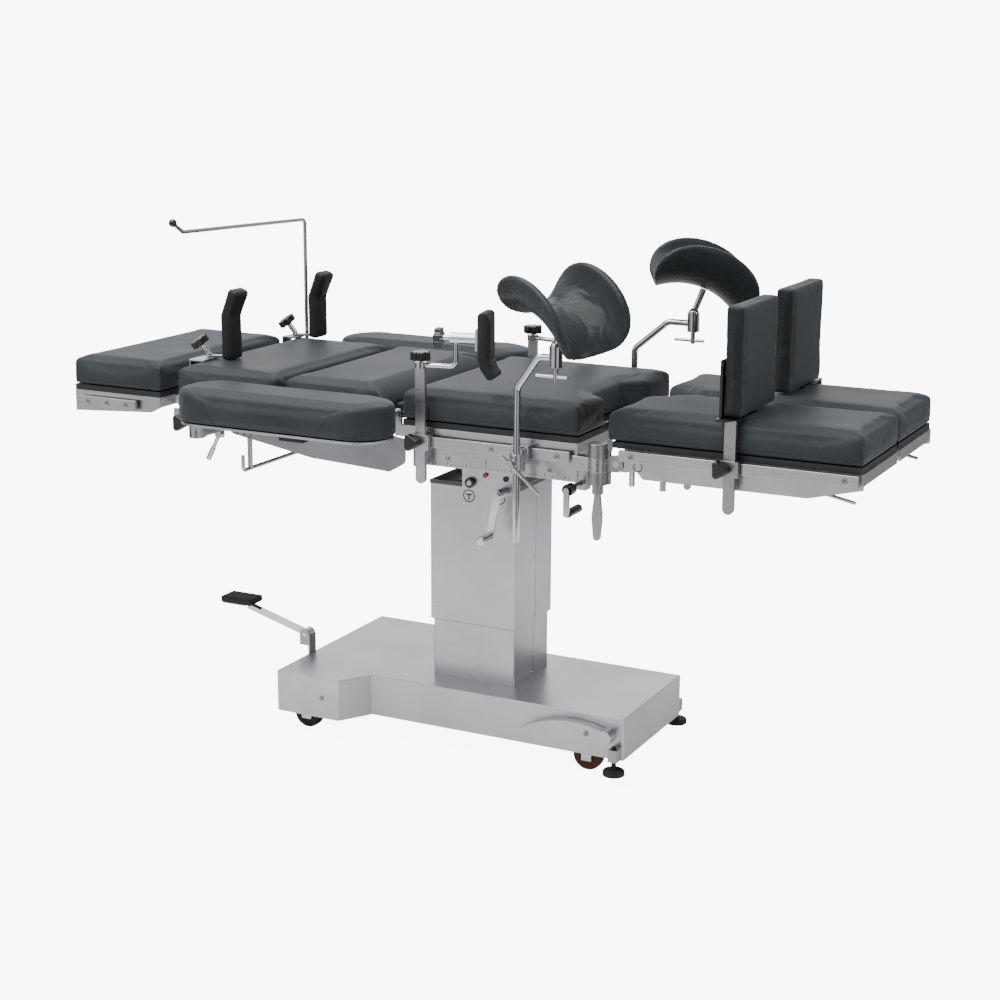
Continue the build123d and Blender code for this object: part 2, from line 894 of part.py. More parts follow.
# Hydraulic pump: block with a plunger, oil tank and steel pipe to the ram
pump_low_z = chassis_top_z
pump = block(
    pump_x - pump_long / 2, pump_x + pump_long / 2, pump_y - pump_half, pump_y + pump_half,
    pump_low_z, pump_low_z + pump_high,
)
pump += rod(
    (pump_x - pump_long / 4, pump_y, pump_low_z + pump_high),
    (pump_x - pump_long / 4, pump_y, pump_low_z + pump_high + plunger_high), plunger_radius,
)
tank = block(
    pump_x - tank_long / 2, pump_x + tank_long / 2, tank_y - tank_half, tank_y + tank_half,
    pump_low_z, pump_low_z + pump_high,
)
pipe_z = pump_low_z + pipe_z_rise
pipe_turn_x = (pump_x + pump_long / 2 - lower_half_x) / 2
pipe_end_x = -lower_half_x - seat_gap
pipe = bent_rod(
    [
        (pump_x + pump_long / 2, pump_y, pipe_z), (pipe_turn_x, pump_y, pipe_z),
        (pipe_turn_x, 0, pipe_z), (pipe_end_x, 0, pipe_z),
    ],
    pipe_radius, pipe_bend,
)
node("hydraulic_pump", pump, fillet(tank.edges().filter_by(Axis.Z), base_corner), pipe)

# Pedal mounts on the base: a fork for the pump pedal, guides for the brake feet
bracket_face_x = base_head_x
bracket = block(
    bracket_face_x - pedal_bracket_sheet, bracket_face_x,
    pedal_pivot_y - pedal_bracket_width / 2, pedal_pivot_y + pedal_bracket_width / 2,
    pedal_bracket_low_z, pedal_pivot_z,
)
for side in (-1, 1):
    edge_y = pedal_pivot_y + side * pedal_bracket_width / 2
    bracket += block(
        pedal_pivot_x - pedal_ear, bracket_face_x, edge_y - side * pedal_bracket_sheet, edge_y,
        pedal_pivot_z - pedal_ear * 2, pedal_pivot_z,
    )
    bracket += rod(
        (pedal_pivot_x, edge_y - side * pedal_bracket_sheet, pedal_pivot_z),
        (pedal_pivot_x, edge_y, pedal_pivot_z), pedal_ear,
    )
bracket -= rod(
    (pedal_pivot_x, pedal_pivot_y - pedal_bracket_width, pedal_pivot_z),
    (pedal_pivot_x, pedal_pivot_y + pedal_bracket_width, pedal_pivot_z),
    pedal_pin_radius + running_gap,
)
pedal_inner = pedal_bracket_width / 2 - pedal_bracket_sheet - seat_gap
heel_clear = pedal_ear + seat_gap
bracket -= block(
    pedal_pivot_x - heel_clear, pedal_pivot_x + heel_clear, pedal_pivot_y - pedal_inner,
    pedal_pivot_y + pedal_inner,
    pedal_pivot_z - heel_clear, pedal_pivot_z + heel_clear,
)
brake_foot_y = base_foot_half + brake_foot_out


def brake_guide(side):
    """A drilled block on the cover's side that guides one brake foot."""
    inner = side * base_foot_half
    body = block(
        brake_foot_x - brake_guide_half, brake_foot_x + brake_guide_half,
        inner, side * (brake_foot_y + brake_guide_half), brake_guide_low_z, brake_guide_high_z,
    )
    hole = rod(
        (brake_foot_x, side * brake_foot_y, brake_guide_low_z - overrun),
        (brake_foot_x, side * brake_foot_y, brake_guide_high_z + overrun),
        brake_rod_radius + running_gap,
    )
    return body - hole


node("pedal_mounts", bracket, *both(brake_guide))

# Pump pedal: flat arm on its pin, with a rubber tread at the end
heel = rod(
    (pedal_pivot_x, pedal_pivot_y - pedal_inner, pedal_pivot_z),
    (pedal_pivot_x, pedal_pivot_y + pedal_inner, pedal_pivot_z), pedal_ear,
)
pin = rod(
    (pedal_pivot_x, pedal_pivot_y - pedal_bracket_width / 2, pedal_pivot_z),
    (pedal_pivot_x, pedal_pivot_y + pedal_bracket_width / 2, pedal_pivot_z),
    pedal_pin_radius,
)
arm_half = min(pedal_arm_wide / 2, pedal_inner)
arm = plate_xz(
    [
        (pedal_pivot_x, pedal_pivot_z - pedal_arm_high / 2),
        (pedal_pivot_x, pedal_pivot_z + pedal_arm_high / 2),
        (pedal_arm_end_x, pedal_arm_end_z + pedal_arm_high / 2),
        (pedal_arm_end_x, pedal_arm_end_z - pedal_arm_high / 2),
    ],
    pedal_pivot_y - arm_half, pedal_pivot_y + arm_half,
)
tread_low_z = pedal_arm_end_z + pedal_arm_high / 2
tread_foot_x = pedal_arm_end_x + pedal_pad_long / 4
sole = block(
    tread_foot_x - pedal_pad_long, tread_foot_x - pedal_pad_long / 4,
    pedal_pivot_y - pedal_pad_wide / 3, pedal_pivot_y + pedal_pad_wide / 3,
    tread_low_z - pedal_pad_sole, tread_low_z,
)
tread_shape = block(
    tread_foot_x - pedal_pad_long, tread_foot_x, pedal_pivot_y - pedal_pad_wide / 2,
    pedal_pivot_y + pedal_pad_wide / 2,
    tread_low_z, tread_low_z + pedal_pad_thick,
)
tread_top = fillet(tread_shape.edges(), pedal_pad_round) - arm
node("pump_pedal", heel + pin + arm + sole, tread_top - sole)

# Brake pedal: a cross shaft through the base, a drum at each side, a leaf to tread on
drum_in = base_foot_half + seat_gap
drum_out = base_foot_half + brake_drum_long
brake = rod((brake_x, -drum_out, brake_z), (brake_x, drum_out, brake_z), brake_shaft_radius)
for side in (-1, 1):
    brake += rod((brake_x, side * drum_in, brake_z), (brake_x, side * drum_out, brake_z), brake_drum_radius)
leaf_x = brake_x - brake_leaf_reach
leaf_top = ThreePointArc(
    (brake_x, 0, brake_z + brake_drum_radius - brake_leaf_sheet),
    (brake_x - brake_leaf_mid_reach, 0, brake_z + brake_leaf_rise),
    (leaf_x, 0, brake_z - brake_leaf_drop),
)
leaf_low = ThreePointArc(
    (leaf_x, 0, brake_z - brake_leaf_drop),
    (brake_x - brake_leaf_mid_reach, 0, brake_z + brake_leaf_rise - brake_leaf_sheet),
    (brake_x, 0, brake_z + brake_drum_radius - brake_leaf_sheet * 2),
)
leaf_end = Line(leaf_low @ 1, leaf_top @ 0)
leaf_face = make_face(Curve() + [leaf_top, leaf_low, leaf_end])
leaf_in = (drum_in + drum_out - brake_leaf_wide) / 2
leaf = Pos(0, -leaf_in, 0) * extrude(leaf_face, brake_leaf_wide, dir=(0, -1, 0))
node("brake_pedal", brake + leaf)


def brake_foot(side):
    """A round rubber-faced foot on its rod, lifted off the floor."""
    centre_y = side * brake_foot_y
    pad_top = brake_foot_rise + brake_foot_high
    body = rod(
        (brake_foot_x, centre_y, brake_foot_rise), (brake_foot_x, centre_y, pad_top),
        brake_foot_radius,
    )
    body = fillet(body.edges().filter_by(GeomType.CIRCLE).sort_by(Axis.Z)[-1], brake_foot_high / 3)
    return body + rod(
        (brake_foot_x, centre_y, pad_top - edge_break), (brake_foot_x, centre_y, brake_rod_top_z),
        brake_rod_radius,
    )


node("brake_feet", *both(brake_foot))

# Tilt cross: block with crossed trunnions, one pair in the head, one in the carriage
cross = block(
    -cross_half_x, cross_half_x, seat_gap - ear_inner_y, ear_inner_y - seat_gap,
    tilt_z - cross_high / 2, tilt_z + cross_high / 2,
)
pin_out_y = ear_inner_y + ear_thick
cross += rod((0, -pin_out_y - seat_gap, tilt_z), (0, pin_out_y, tilt_z), tilt_pin_radius)
pin_out_x = saddle_ear_inner_x + saddle_ear_thick
cross += rod((-pin_out_x, 0, tilt_z), (pin_out_x, 0, tilt_z), tilt_pin_radius)
node("tilt_cross", cross)

# Control panel: plate in front of the column, carried by the tilting pin
panel_back_y = panel_front_y + panel_thick
panel = block(panel_left_x, panel_right_x, panel_front_y, panel_back_y, panel_low_z, panel_high_z)
panel = fillet(panel.edges().filter_by(Axis.Y), base_corner)
arm_face = -pin_out_y - seat_gap
panel += rod((0, arm_face, tilt_z), (0, arm_face - panel_arm_thick, tilt_z), panel_arm_half)
panel += block(
    -panel_arm_half, panel_arm_half, arm_face - panel_arm_thick, arm_face, panel_shelf_low_z,
    tilt_z,
)
panel += block(
    -panel_arm_half, panel_arm_half, panel_back_y, arm_face, panel_shelf_low_z,
    panel_shelf_low_z + panel_shelf_high,
)
panel -= rod(
    (crank_x, panel_front_y - overrun, crank_z), (crank_x, panel_back_y + overrun, crank_z),
    crank_shaft_radius + running_gap,
)
selector_stem = selector_radius / 2
panel -= rod(
    (selector_x, panel_front_y - overrun, selector_z),
    (selector_x, panel_back_y + overrun, selector_z), selector_stem + running_gap,
)
pointer = rod(
    (pointer_x, panel_front_y, pointer_z), (pointer_x, panel_front_y - pointer_deep, pointer_z),
    pointer_radius,
)
node("control_panel", panel, pointer)

# Selector knob and main crank with its spinning grip
selector_face = panel_front_y - seat_gap
selector = rod(
    (selector_x, selector_face, selector_z),
    (selector_x, selector_face - selector_deep, selector_z), selector_radius,
)
selector = fillet(selector.faces().sort_by(Axis.Y)[0].edges(), edge_break)
selector += rod(
    (selector_x, selector_face, selector_z), (selector_x, panel_back_y, selector_z), selector_stem,
)
mark = block(
    selector_x - edge_break, selector_x + edge_break, selector_face - selector_deep,
    selector_face - selector_deep + edge_break,
    selector_z, selector_z + selector_radius,
)
node("selector_knob", selector - mark)
hub_end_y = panel_front_y - seat_gap - crank_hub_long
lean = Pos(crank_x, 0, crank_z) * Rot(0, crank_lean_deg, 0) * Pos(-crank_x, 0, -crank_z)
crank = rod((crank_x, panel_back_y, crank_z), (crank_x, hub_end_y, crank_z), crank_shaft_radius)
crank += rod((crank_x, panel_front_y - seat_gap, crank_z), (crank_x, hub_end_y, crank_z), crank_hub_radius)
arm_back_y = hub_end_y + crank_arm_thick / 2
arm_face_y = arm_back_y - crank_arm_thick


def crank_arm(x, z, long, wide, y0, y1):
    """A flat crank arm hanging from its shaft, with round ends."""
    body = block(x - wide / 2, x + wide / 2, y0, y1, z - long, z)
    for end_z in (z, z - long):
        body += rod((x, y0, end_z), (x, y1, end_z), wide / 2)
    return body


crank_bar = crank_arm(crank_x, crank_z, crank_arm_long, crank_arm_wide, arm_face_y, arm_back_y)
grip_z = crank_z - crank_arm_long
grip_end_y = arm_face_y - seat_gap - grip_long
crank_bar += rod((crank_x, arm_back_y, grip_z), (crank_x, grip_end_y, grip_z), grip_pin_radius)
node("main_crank", crank + lean * crank_bar)
grip = rod((crank_x, arm_face_y - seat_gap, grip_z), (crank_x, grip_end_y, grip_z), grip_radius)
grip = fillet(grip.edges().filter_by(GeomType.CIRCLE), grip_radius / 3)
grip -= rod(
    (crank_x, arm_back_y, grip_z), (crank_x, grip_end_y - overrun, grip_z),
    grip_pin_radius + running_gap,
)
node("crank_grip", lean * grip)

# Slide carriage: plate with ears on the cross pin and two slots for the seat's rails
carriage_top_z = carriage_low_z + carriage_plate
flange_low_z = carriage_top_z + seat_gap
flange_top_z = flange_low_z + rail_flange_high
carriage = block(
    -carriage_half_x, carriage_half_x, -carriage_half_y, carriage_half_y, carriage_low_z,
    carriage_top_z,
)
for side in (-1, 1):
    channel_in = side * (rail_line_y - rail_flange_half - seat_gap - channel_wall)
    channel_out = side * (rail_line_y + rail_flange_half + seat_gap + channel_wall)
    channel = block(
        -carriage_half_x, carriage_half_x, channel_in, channel_out, carriage_low_z,
        flange_top_z + seat_gap + channel_wall,
    )
    reach = carriage_half_x + overrun
    slot_in = side * (rail_line_y - rail_flange_half - seat_gap)
    slot_out = side * (rail_line_y + rail_flange_half + seat_gap)
    channel -= block(-reach, reach, slot_in, slot_out, carriage_top_z, flange_top_z + seat_gap)
    web_in = side * (rail_line_y - rail_web_half - seat_gap)
    web_out = side * (rail_line_y + rail_web_half + seat_gap)
    channel -= block(-reach, reach, web_in, web_out, carriage_top_z, flange_top_z + channel_wall * 2)
    carriage += channel
for side in (-1, 1):
    inner_x = side * saddle_ear_inner_x
    outer_x = side * pin_out_x
    carriage += block(
        inner_x, outer_x, -saddle_ear_half_y, saddle_ear_half_y, tilt_z, carriage_low_z + seat_gap,
    )
    carriage += rod((inner_x, 0, tilt_z), (outer_x, 0, tilt_z), ear_crown)
carriage -= rod(
    (-pin_out_x - overrun, 0, tilt_z), (pin_out_x + overrun, 0, tilt_z),
    tilt_pin_radius + running_gap,
)
node("slide_carriage", carriage)

# Seat frame: side plates, cross bars, slide rails, hinge lugs and bridge guides
bar_low_z = frame_top_z - cross_bar_high
plate_in = side_plate_y - side_plate_thick
bar_places = [
    seat_plate_head_x + overrun,
    (seat_plate_head_x + seat_plate_foot_x - cross_bar_wide) / 2,
    seat_plate_foot_x - cross_bar_wide,
]
seat = block(bar_places[0], bar_places[0] + cross_bar_wide, -plate_in, plate_in, bar_low_z, frame_top_z)
for bar_x in bar_places[1:]:
    seat += block(bar_x, bar_x + cross_bar_wide, -plate_in, plate_in, bar_low_z, frame_top_z)
for side in (-1, 1):
    seat += block(
        seat_plate_head_x, seat_plate_foot_x, side * plate_in, side * side_plate_y,
        seat_plate_low_z, frame_top_z,
    )
    beam_y = side * rail_line_y
    seat += block(
        bar_places[0], seat_plate_foot_x, beam_y - rail_web_half, beam_y + rail_web_half,
        flange_top_z, frame_top_z,
    )
    seat += block(
        -carriage_half_x - slide_to_foot - rail_spare, carriage_half_x + slide_to_head + rail_spare,
        beam_y - rail_flange_half, beam_y + rail_flange_half, flange_low_z, flange_top_z,
    )
    seat += plate_xz(
        [
            (seat_plate_head_x, frame_top_z), (seat_plate_head_x, bar_low_z),
            (back_hinge_x - hinge_lug_radius, bar_low_z), (back_hinge_x - hinge_lug_radius, back_hinge_z),
            (back_hinge_x + hinge_lug_radius, back_hinge_z), (back_hinge_x + hinge_lug_radius, frame_top_z),
        ],
        side * plate_in, side * side_plate_y,
    )
    seat += rod(
        (back_hinge_x, side * plate_in, back_hinge_z),
        (back_hinge_x, side * side_plate_y, back_hinge_z), hinge_lug_radius,
    )
    lug_in_y = side * (cushion_half + edge_break * 2)
    lug_out_y = side * (cushion_half + edge_break * 2 + hinge_lug_thick)
    pin_end_y = lug_out_y + side * (seat_gap + hinge_pin_head)
    seat += rod(
        (back_hinge_x, side * plate_in, back_hinge_z), (back_hinge_x, pin_end_y, back_hinge_z),
        hinge_pin_radius,
    )
    seat += rod(
        (back_hinge_x, lug_out_y + side * seat_gap, back_hinge_z),
        (back_hinge_x, pin_end_y, back_hinge_z), hinge_pin_head_radius,
    )
    seat += block(
        seat_plate_foot_x - overrun, leg_swing_x, side * (leg_swing_y - barrel_lug_half),
        side * (leg_swing_y + barrel_lug_half),
        barrel_lug_low_z, barrel_lug_top_z,
    )
    seat += rod(
        (leg_swing_x, side * leg_swing_y, barrel_lug_low_z),
        (leg_swing_x, side * leg_swing_y, barrel_lug_top_z), barrel_radius,
    )
    seat -= rod(
        (leg_swing_x, side * leg_swing_y, barrel_lug_low_z - overrun),
        (leg_swing_x, side * leg_swing_y, barrel_lug_top_z + overrun),
        barrel_pin_radius + running_gap,
    )
    guide_y = side * bridge_rod_y
    guide_out = bridge_rod_radius + bridge_guide_wall
    seat += rod((bridge_x, guide_y, bridge_guide_low_z), (bridge_x, guide_y, bridge_guide_top_z), guide_out)
    seat += block(
        bridge_x, bar_places[0] + overrun, guide_y - guide_out, guide_y + guide_out, bar_low_z,
        bridge_guide_top_z,
    )
    seat -= rod(
        (bridge_x, guide_y, bridge_guide_low_z - overrun),
        (bridge_x, guide_y, bridge_guide_top_z + overrun), bridge_rod_radius + running_gap,
    )
bearing_in = bridge_bearing_y + bridge_bearing_half
bearing_out = bridge_bearing_y - bridge_bearing_half
seat += block(
    bridge_crank_x - bridge_bearing_half, bridge_crank_x + bridge_bearing_half, bearing_out, bearing_in,
    bridge_crank_z - bridge_bearing_half, bar_low_z + overrun,
)
seat -= rod(
    (bridge_crank_x, bearing_out - overrun, bridge_crank_z),
    (bridge_crank_x, bearing_in + overrun, bridge_crank_z), bridge_shaft_radius + running_gap,
)
drive_z = (bar_low_z + frame_top_z) / 2
drive_y = bridge_bearing_y
seat += rod(
    (bridge_crank_x, drive_y, drive_z),
    (bridge_x + bridge_rod_radius + bridge_guide_wall / 2, drive_y, drive_z), bridge_guide_wall,
)


def seat_outline(inset):
    """Seat plan with the slanted cut-out at the foot end."""
    half = cushion_half - inset
    foot = seat_foot_x - inset
    deep = seat_foot_x - notch_depth - inset
    return polygon(
        [
            (seat_head_x + inset, -half), (foot, -half), (foot, -notch_half_open - inset),
            (deep, -notch_half_deep - inset),
            (deep, notch_half_deep + inset), (foot, notch_half_open + inset), (foot, half),
            (seat_head_x + inset, half),
        ]
    )


def board(outline):
    """The black base board between a section's frame and its cushion."""
    return Pos(0, 0, frame_top_z) * extrude(outline, board_thick)


node("seat_frame", seat, board(seat_outline(board_inset)))
node("seat_cushion", cushion(seat_outline(0), cushion_low_z, cushion_top_z))


# Accessory rails: bars on spacers with countersunk screws, one pair a section
def side_rail(side, head_x, foot_x, top_z):
    """One rail on spacers, with a screw sunk in its face over each spacer."""
    low_z = top_z - rail_high
    mid_z = (low_z + top_z) / 2
    bar = block(head_x, foot_x, side * rail_in, side * rail_out, low_z, top_z)
    bar = fillet(bar.edges().filter_by(Axis.Y), edge_break)
    recess_y = rail_out - screw_recess
    for place_x in (head_x + rail_end, (head_x + foot_x) / 2, foot_x - rail_end):
        bar += rod((place_x, side * side_plate_y, mid_z), (place_x, side * rail_in, mid_z), spacer_radius)
        bar -= rod(
            (place_x, side * recess_y, mid_z), (place_x, side * (rail_out + overrun), mid_z),
            screw_radius,
        )
        bar += rod(
            (place_x, side * recess_y, mid_z), (place_x, side * (rail_out - seat_gap), mid_z),
            screw_radius - edge_break,
        )
    return bar


# Rail clamps hold each accessory: a hooked block round the bar
def rail_clamp(x, side, top_z, lip):
    """A block hooked over the rail, open below its inner jaw."""
    outer = block(
        x - clamp_half, x + clamp_half, side * (rail_in - seat_gap - clamp_jaw),
        side * (rail_out + clamp_out),
        top_z - rail_high - lip, top_z + clamp_above,
    )
    slot = block(
        x - clamp_half - overrun, x + clamp_half + overrun, side * (rail_in - seat_gap),
        side * (rail_out + clamp_play),
        top_z - rail_high - seat_gap, top_z + seat_gap,
    )
    back_open = block(
        x - clamp_half - overrun, x + clamp_half + overrun,
        side * (rail_in - seat_gap - clamp_jaw - overrun), side * (rail_in - seat_gap),
        top_z - rail_high - lip - overrun, top_z - clamp_jaw_drop,
    )
    return outer - slot - back_open


def clamp_knob(x, side, z, y):
    """The three-lobed screw that tightens a clamp."""
    neck = rod((x, side * y, z), (x, side * (y + knob_neck_long), z), knob_neck_radius)
    place = facing((x, side * (y + knob_neck_long), z), (0, side, 0), (1, 0, 0))
    return neck + shield_knob(place, knob_lobe_radius, knob_lobe_thick)


holder_axis_y = rail_out + clamp_out + holder_axis_gap


def holder_clamp(side, x):
    """Rail clamp of a leg holder: a drilled barrel that grips the rod, with lever bars."""
    body = rail_clamp(x, side, rail_top_z, clamp_lip)
    low = rail_top_z - rail_high - clamp_lip - holder_clamp_long / 2
    body += block(
        x - holder_block_half, x + holder_block_half, side * (rail_out + clamp_out - overrun),
        side * holder_axis_y,
        low, rail_top_z,
    )
    body += rod(
        (x, side * holder_axis_y, low), (x, side * holder_axis_y, low + holder_clamp_long),
        holder_clamp_radius,
    )
    bore_low = (x, side * holder_axis_y, low - overrun)
    bore_top = (x, side * holder_axis_y, rail_top_z + overrun)
    body -= rod(bore_low, bore_top, holder_rod_radius + running_gap)
    screw_y = holder_axis_y + holder_clamp_radius - edge_break
    mid_z = low + holder_clamp_long / 2
    body += rod(
        (x, side * screw_y, mid_z), (x, side * (screw_y + holder_screw_long), mid_z),
        holder_screw_radius,
    )
    tip_y = side * (screw_y + holder_lever_out)
    body += rod(
        (x - holder_lever_head_x, tip_y, mid_z + holder_lever_head_z),
        (x + holder_lever_tip_x, tip_y, mid_z - holder_lever_tip_z), holder_tee_radius,
    )
    return body


seat_rails = []
for side in (-1, 1):
    seat_rails.append(side_rail(side, seat_rail_head_x, seat_rail_foot_x, rail_top_z))
    seat_rails.append(holder_clamp(side, holder_x if side < 0 else holder_far_x))
node("seat_side_rails", *seat_rails)

# Kidney bridge: narrow padded beam on two rods, raised by the second crank
bridge_beam_top_z = bridge_top_z - bridge_pad_high
bridge_beam_low_z = bridge_beam_top_z - bridge_beam_high
bridge = block(
    bridge_x - bridge_beam_half_x, bridge_x + bridge_beam_half_x, -bridge_half_y, bridge_half_y,
    bridge_beam_low_z, bridge_beam_top_z,
)
for side in (-1, 1):
    bridge += rod(
        (bridge_x, side * bridge_rod_y, bridge_rod_low_z),
        (bridge_x, side * bridge_rod_y, bridge_beam_low_z + edge_break), bridge_rod_radius,
    )
bridge_pad = block(
    bridge_x - bridge_half_x, bridge_x + bridge_half_x, -bridge_half_y, bridge_half_y,
    bridge_beam_top_z + seat_gap, bridge_top_z,
)
bridge_pad = fillet(bridge_pad.faces().sort_by(Axis.Z)[-1].edges(), bridge_pad_round)
node("kidney_bridge", bridge, bridge_pad)

crank_tip_z = bridge_crank_z - bridge_crank_arm
second = rod(
    (bridge_crank_x, bearing_in, bridge_crank_z), (bridge_crank_x, bridge_crank_y, bridge_crank_z),
    bridge_shaft_radius,
)
second += rod(
    (bridge_crank_x, bridge_crank_y + bridge_crank_bar, bridge_crank_z),
    (bridge_crank_x, bridge_crank_y + bridge_crank_bar + bridge_collar_long, bridge_crank_z),
    bridge_collar_radius,
)
second_face_y = bridge_crank_y + bridge_crank_bar
second += crank_arm(
    bridge_crank_x, bridge_crank_z, bridge_crank_arm, bridge_crank_wide, bridge_crank_y,
    second_face_y,
)
second_end_y = second_face_y + bridge_grip_long
second += rod(
    (bridge_crank_x, bridge_crank_y, crank_tip_z), (bridge_crank_x, second_end_y, crank_tip_z),
    grip_pin_radius,
)
second_grip = rod(
    (bridge_crank_x, second_face_y + seat_gap, crank_tip_z),
    (bridge_crank_x, second_end_y, crank_tip_z), bridge_grip_radius,
)
second_grip = fillet(second_grip.edges().filter_by(GeomType.CIRCLE), bridge_grip_radius / 3)
second_grip -= rod(
    (bridge_crank_x, bridge_crank_y, crank_tip_z),
    (bridge_crank_x, second_end_y + overrun, crank_tip_z), grip_pin_radius + running_gap,
)
node("bridge_crank", second, second_grip)

# Back section: members, base board, hinge lugs, fixed hook bar and accessory rails
member_low_z = frame_top_z - back_member_high
member_foot_x = back_board_foot_x - back_member_half
back = block(
    chest_head_x + board_inset, chest_head_x + board_inset + cross_bar_wide, -plate_in, plate_in,
    member_low_z, frame_top_z,
)
back += block(chest_foot_x, chest_foot_x + cross_bar_wide, -plate_in, plate_in, member_low_z, frame_top_z)
for side in (-1, 1):
    back += block(
        chest_head_x + board_inset, member_foot_x,
        side * (back_member_y - back_member_half), side * (back_member_y + back_member_half),
        member_low_z, frame_top_z,
    )
    back += block(
        chest_head_x + board_inset, back_rail_foot_x, side * plate_in, side * side_plate_y,
        member_low_z, frame_top_z,
    )
    lug_in_y = side * (cushion_half + edge_break * 2)
    lug_out_y = side * (cushion_half + edge_break * 2 + hinge_lug_thick)
    lug_root_x = member_foot_x - hinge_lug_radius * 2
    back += plate_xz(
        [
            (lug_root_x, frame_top_z), (lug_root_x, member_low_z), (member_foot_x, member_low_z),
            
            (
                back_hinge_x + hinge_lug_radius * lug_corner_share,
                back_hinge_z - hinge_lug_radius * lug_corner_share,
            ),
            
            (
                back_hinge_x - hinge_lug_radius * lug_corner_share,
                back_hinge_z + hinge_lug_radius * lug_corner_share,
            ),
        ],
        lug_in_y, lug_out_y,
    )
    back += rod(
        (back_hinge_x, lug_in_y, back_hinge_z), (back_hinge_x, lug_out_y, back_hinge_z),
        hinge_lug_radius,
    )
    back += block(lug_root_x, member_foot_x, side * back_member_y, lug_out_y, member_low_z, frame_top_z)
    back -= rod(
        (back_hinge_x, lug_in_y - side * overrun, back_hinge_z),
        (back_hinge_x, lug_out_y + side * overrun, back_hinge_z), hinge_pin_radius + running_gap,
    )
    for knuckle in (-1, 1):
        knuckle_y = side * head_hinge_y + knuckle * head_hinge_lug_half * 2
        low_y = knuckle_y - head_hinge_lug_half + seat_gap
        high_y = knuckle_y + head_hinge_lug_half - seat_gap
        back += rod(
            (head_hinge_x, low_y, head_hinge_z), (head_hinge_x, high_y, head_hinge_z),
            head_hinge_lug_radius,
        )
        back += block(
            head_hinge_x, chest_head_x + board_inset * 2, low_y, high_y, member_low_z + board_inset,
            frame_top_z,
        )
    stud_y = side * (shoulder_near_y if side < 0 else shoulder_far_y)
    bracket_y = side * (shoulder_near_bracket_y if side < 0 else shoulder_far_y)
    face_x = chest_head_x - shoulder_bracket_gap
    sheet_x = face_x - shoulder_bracket_sheet
    shelf_z = cushion_top_z + shoulder_lift
    back += block(
        sheet_x, chest_head_x + board_inset * 2, bracket_y - shoulder_bracket_half,
        bracket_y + shoulder_bracket_half, shoulder_bracket_low_z, frame_top_z,
    )
    back += block(
        sheet_x, face_x, bracket_y - shoulder_bracket_half, bracket_y + shoulder_bracket_half,
        shoulder_bracket_low_z, shelf_z,
    )
    shelf_foot_x = shoulder_stud_x + shoulder_shelf_reach
    shelf_low_y = min(bracket_y, stud_y) - shoulder_bracket_half
    shelf_high_y = max(bracket_y, stud_y) + shoulder_bracket_half
    back += block(sheet_x, shelf_foot_x, shelf_low_y, shelf_high_y, shelf_z - shoulder_bracket_sheet, shelf_z)
    arm_top_z = shelf_z + seat_gap + shoulder_arm_thick
    back += rod(
        (shoulder_stud_x, stud_y, shelf_z - edge_break),
        (shoulder_stud_x, stud_y, arm_top_z - shoulder_stud_short), shoulder_stud_radius,
    )
    back += rod(
        (hook_x, side * hook_hang_y, hook_low_z),
        (hook_x, side * hook_hang_y, member_low_z + edge_break), hook_hanger_radius,
    )
for side in (-1, 1):
    back -= rod(
        (head_hinge_x, side * head_hinge_y - head_hinge_lug_half * 4, head_hinge_z),
        (head_hinge_x, side * head_hinge_y + head_hinge_lug_half * 4, head_hinge_z),
        head_hinge_pin_radius + running_gap,
    )
hook_bar = bent_rod(
    [
        (hook_x, -hook_y, hook_tip_z), (hook_x, -hook_y, hook_low_z),
        (hook_x, hook_y, hook_low_z), (hook_x, hook_y, hook_tip_z),
    ],
    hook_radius, hook_bend,
)
back += hook_bar
lever_y = -side_plate_y - seat_gap - lever_eye_thick / 2
back += rod((lever_x, -plate_in, lever_z), (lever_x, lever_y - lever_eye_thick / 2, lever_z), lever_radius)
back += block(
    lever_x - lever_eye_radius, lever_x + lever_eye_radius / 2, -side_plate_y, -plate_in,
    lever_z - lever_eye_radius, member_low_z + edge_break,
)
board_plan = rectangle(
    chest_head_x + board_inset, back_board_foot_x, board_inset - cushion_half,
    cushion_half - board_inset,
)


def arm_clamp(side, shift):
    """Clamp on the back rail with an arm out to the board's pivot."""
    x = arm_pivot_x + shift
    pivot_y = side * (arm_inner_y + arm_outer_y) / 2
    tray_low = arm_pad_low_z - seat_gap - arm_tray_thick
    boss_top = tray_low - arm_boss_high - seat_gap
    body = rail_clamp(x, side, rail_top_z, clamp_lip)
    body += block(
        x - arm_bar_half, x + arm_bar_half, side * (rail_out + clamp_out - overrun), pivot_y,
        boss_top - arm_bar_high, boss_top,
    )
    body += rod((x, pivot_y, boss_top - arm_bar_high), (x, pivot_y, boss_top), arm_boss_radius)
    body -= rod(
        (x, pivot_y, boss_top - arm_stub_long), (x, pivot_y, boss_top + overrun),
        arm_stub_radius + running_gap,
    )
    return body


back_rails = []
for side in (-1, 1):
    back_rails.append(side_rail(side, back_rail_head_x, back_rail_foot_x, rail_top_z))
near_arm_clamp = arm_clamp(-1, 0)
far_arm_clamp = arm_clamp(1, arm_far_shift)
screen_clamp = rail_clamp(screen_x, 1, rail_top_z, clamp_lip)
screen_axis_y = rail_out + screen_radius + overrun
screen_clamp -= rod(
    (screen_x, screen_axis_y, screen_low_z - overrun), (screen_x, screen_axis_y, cushion_top_z),
    screen_radius + running_gap,
)
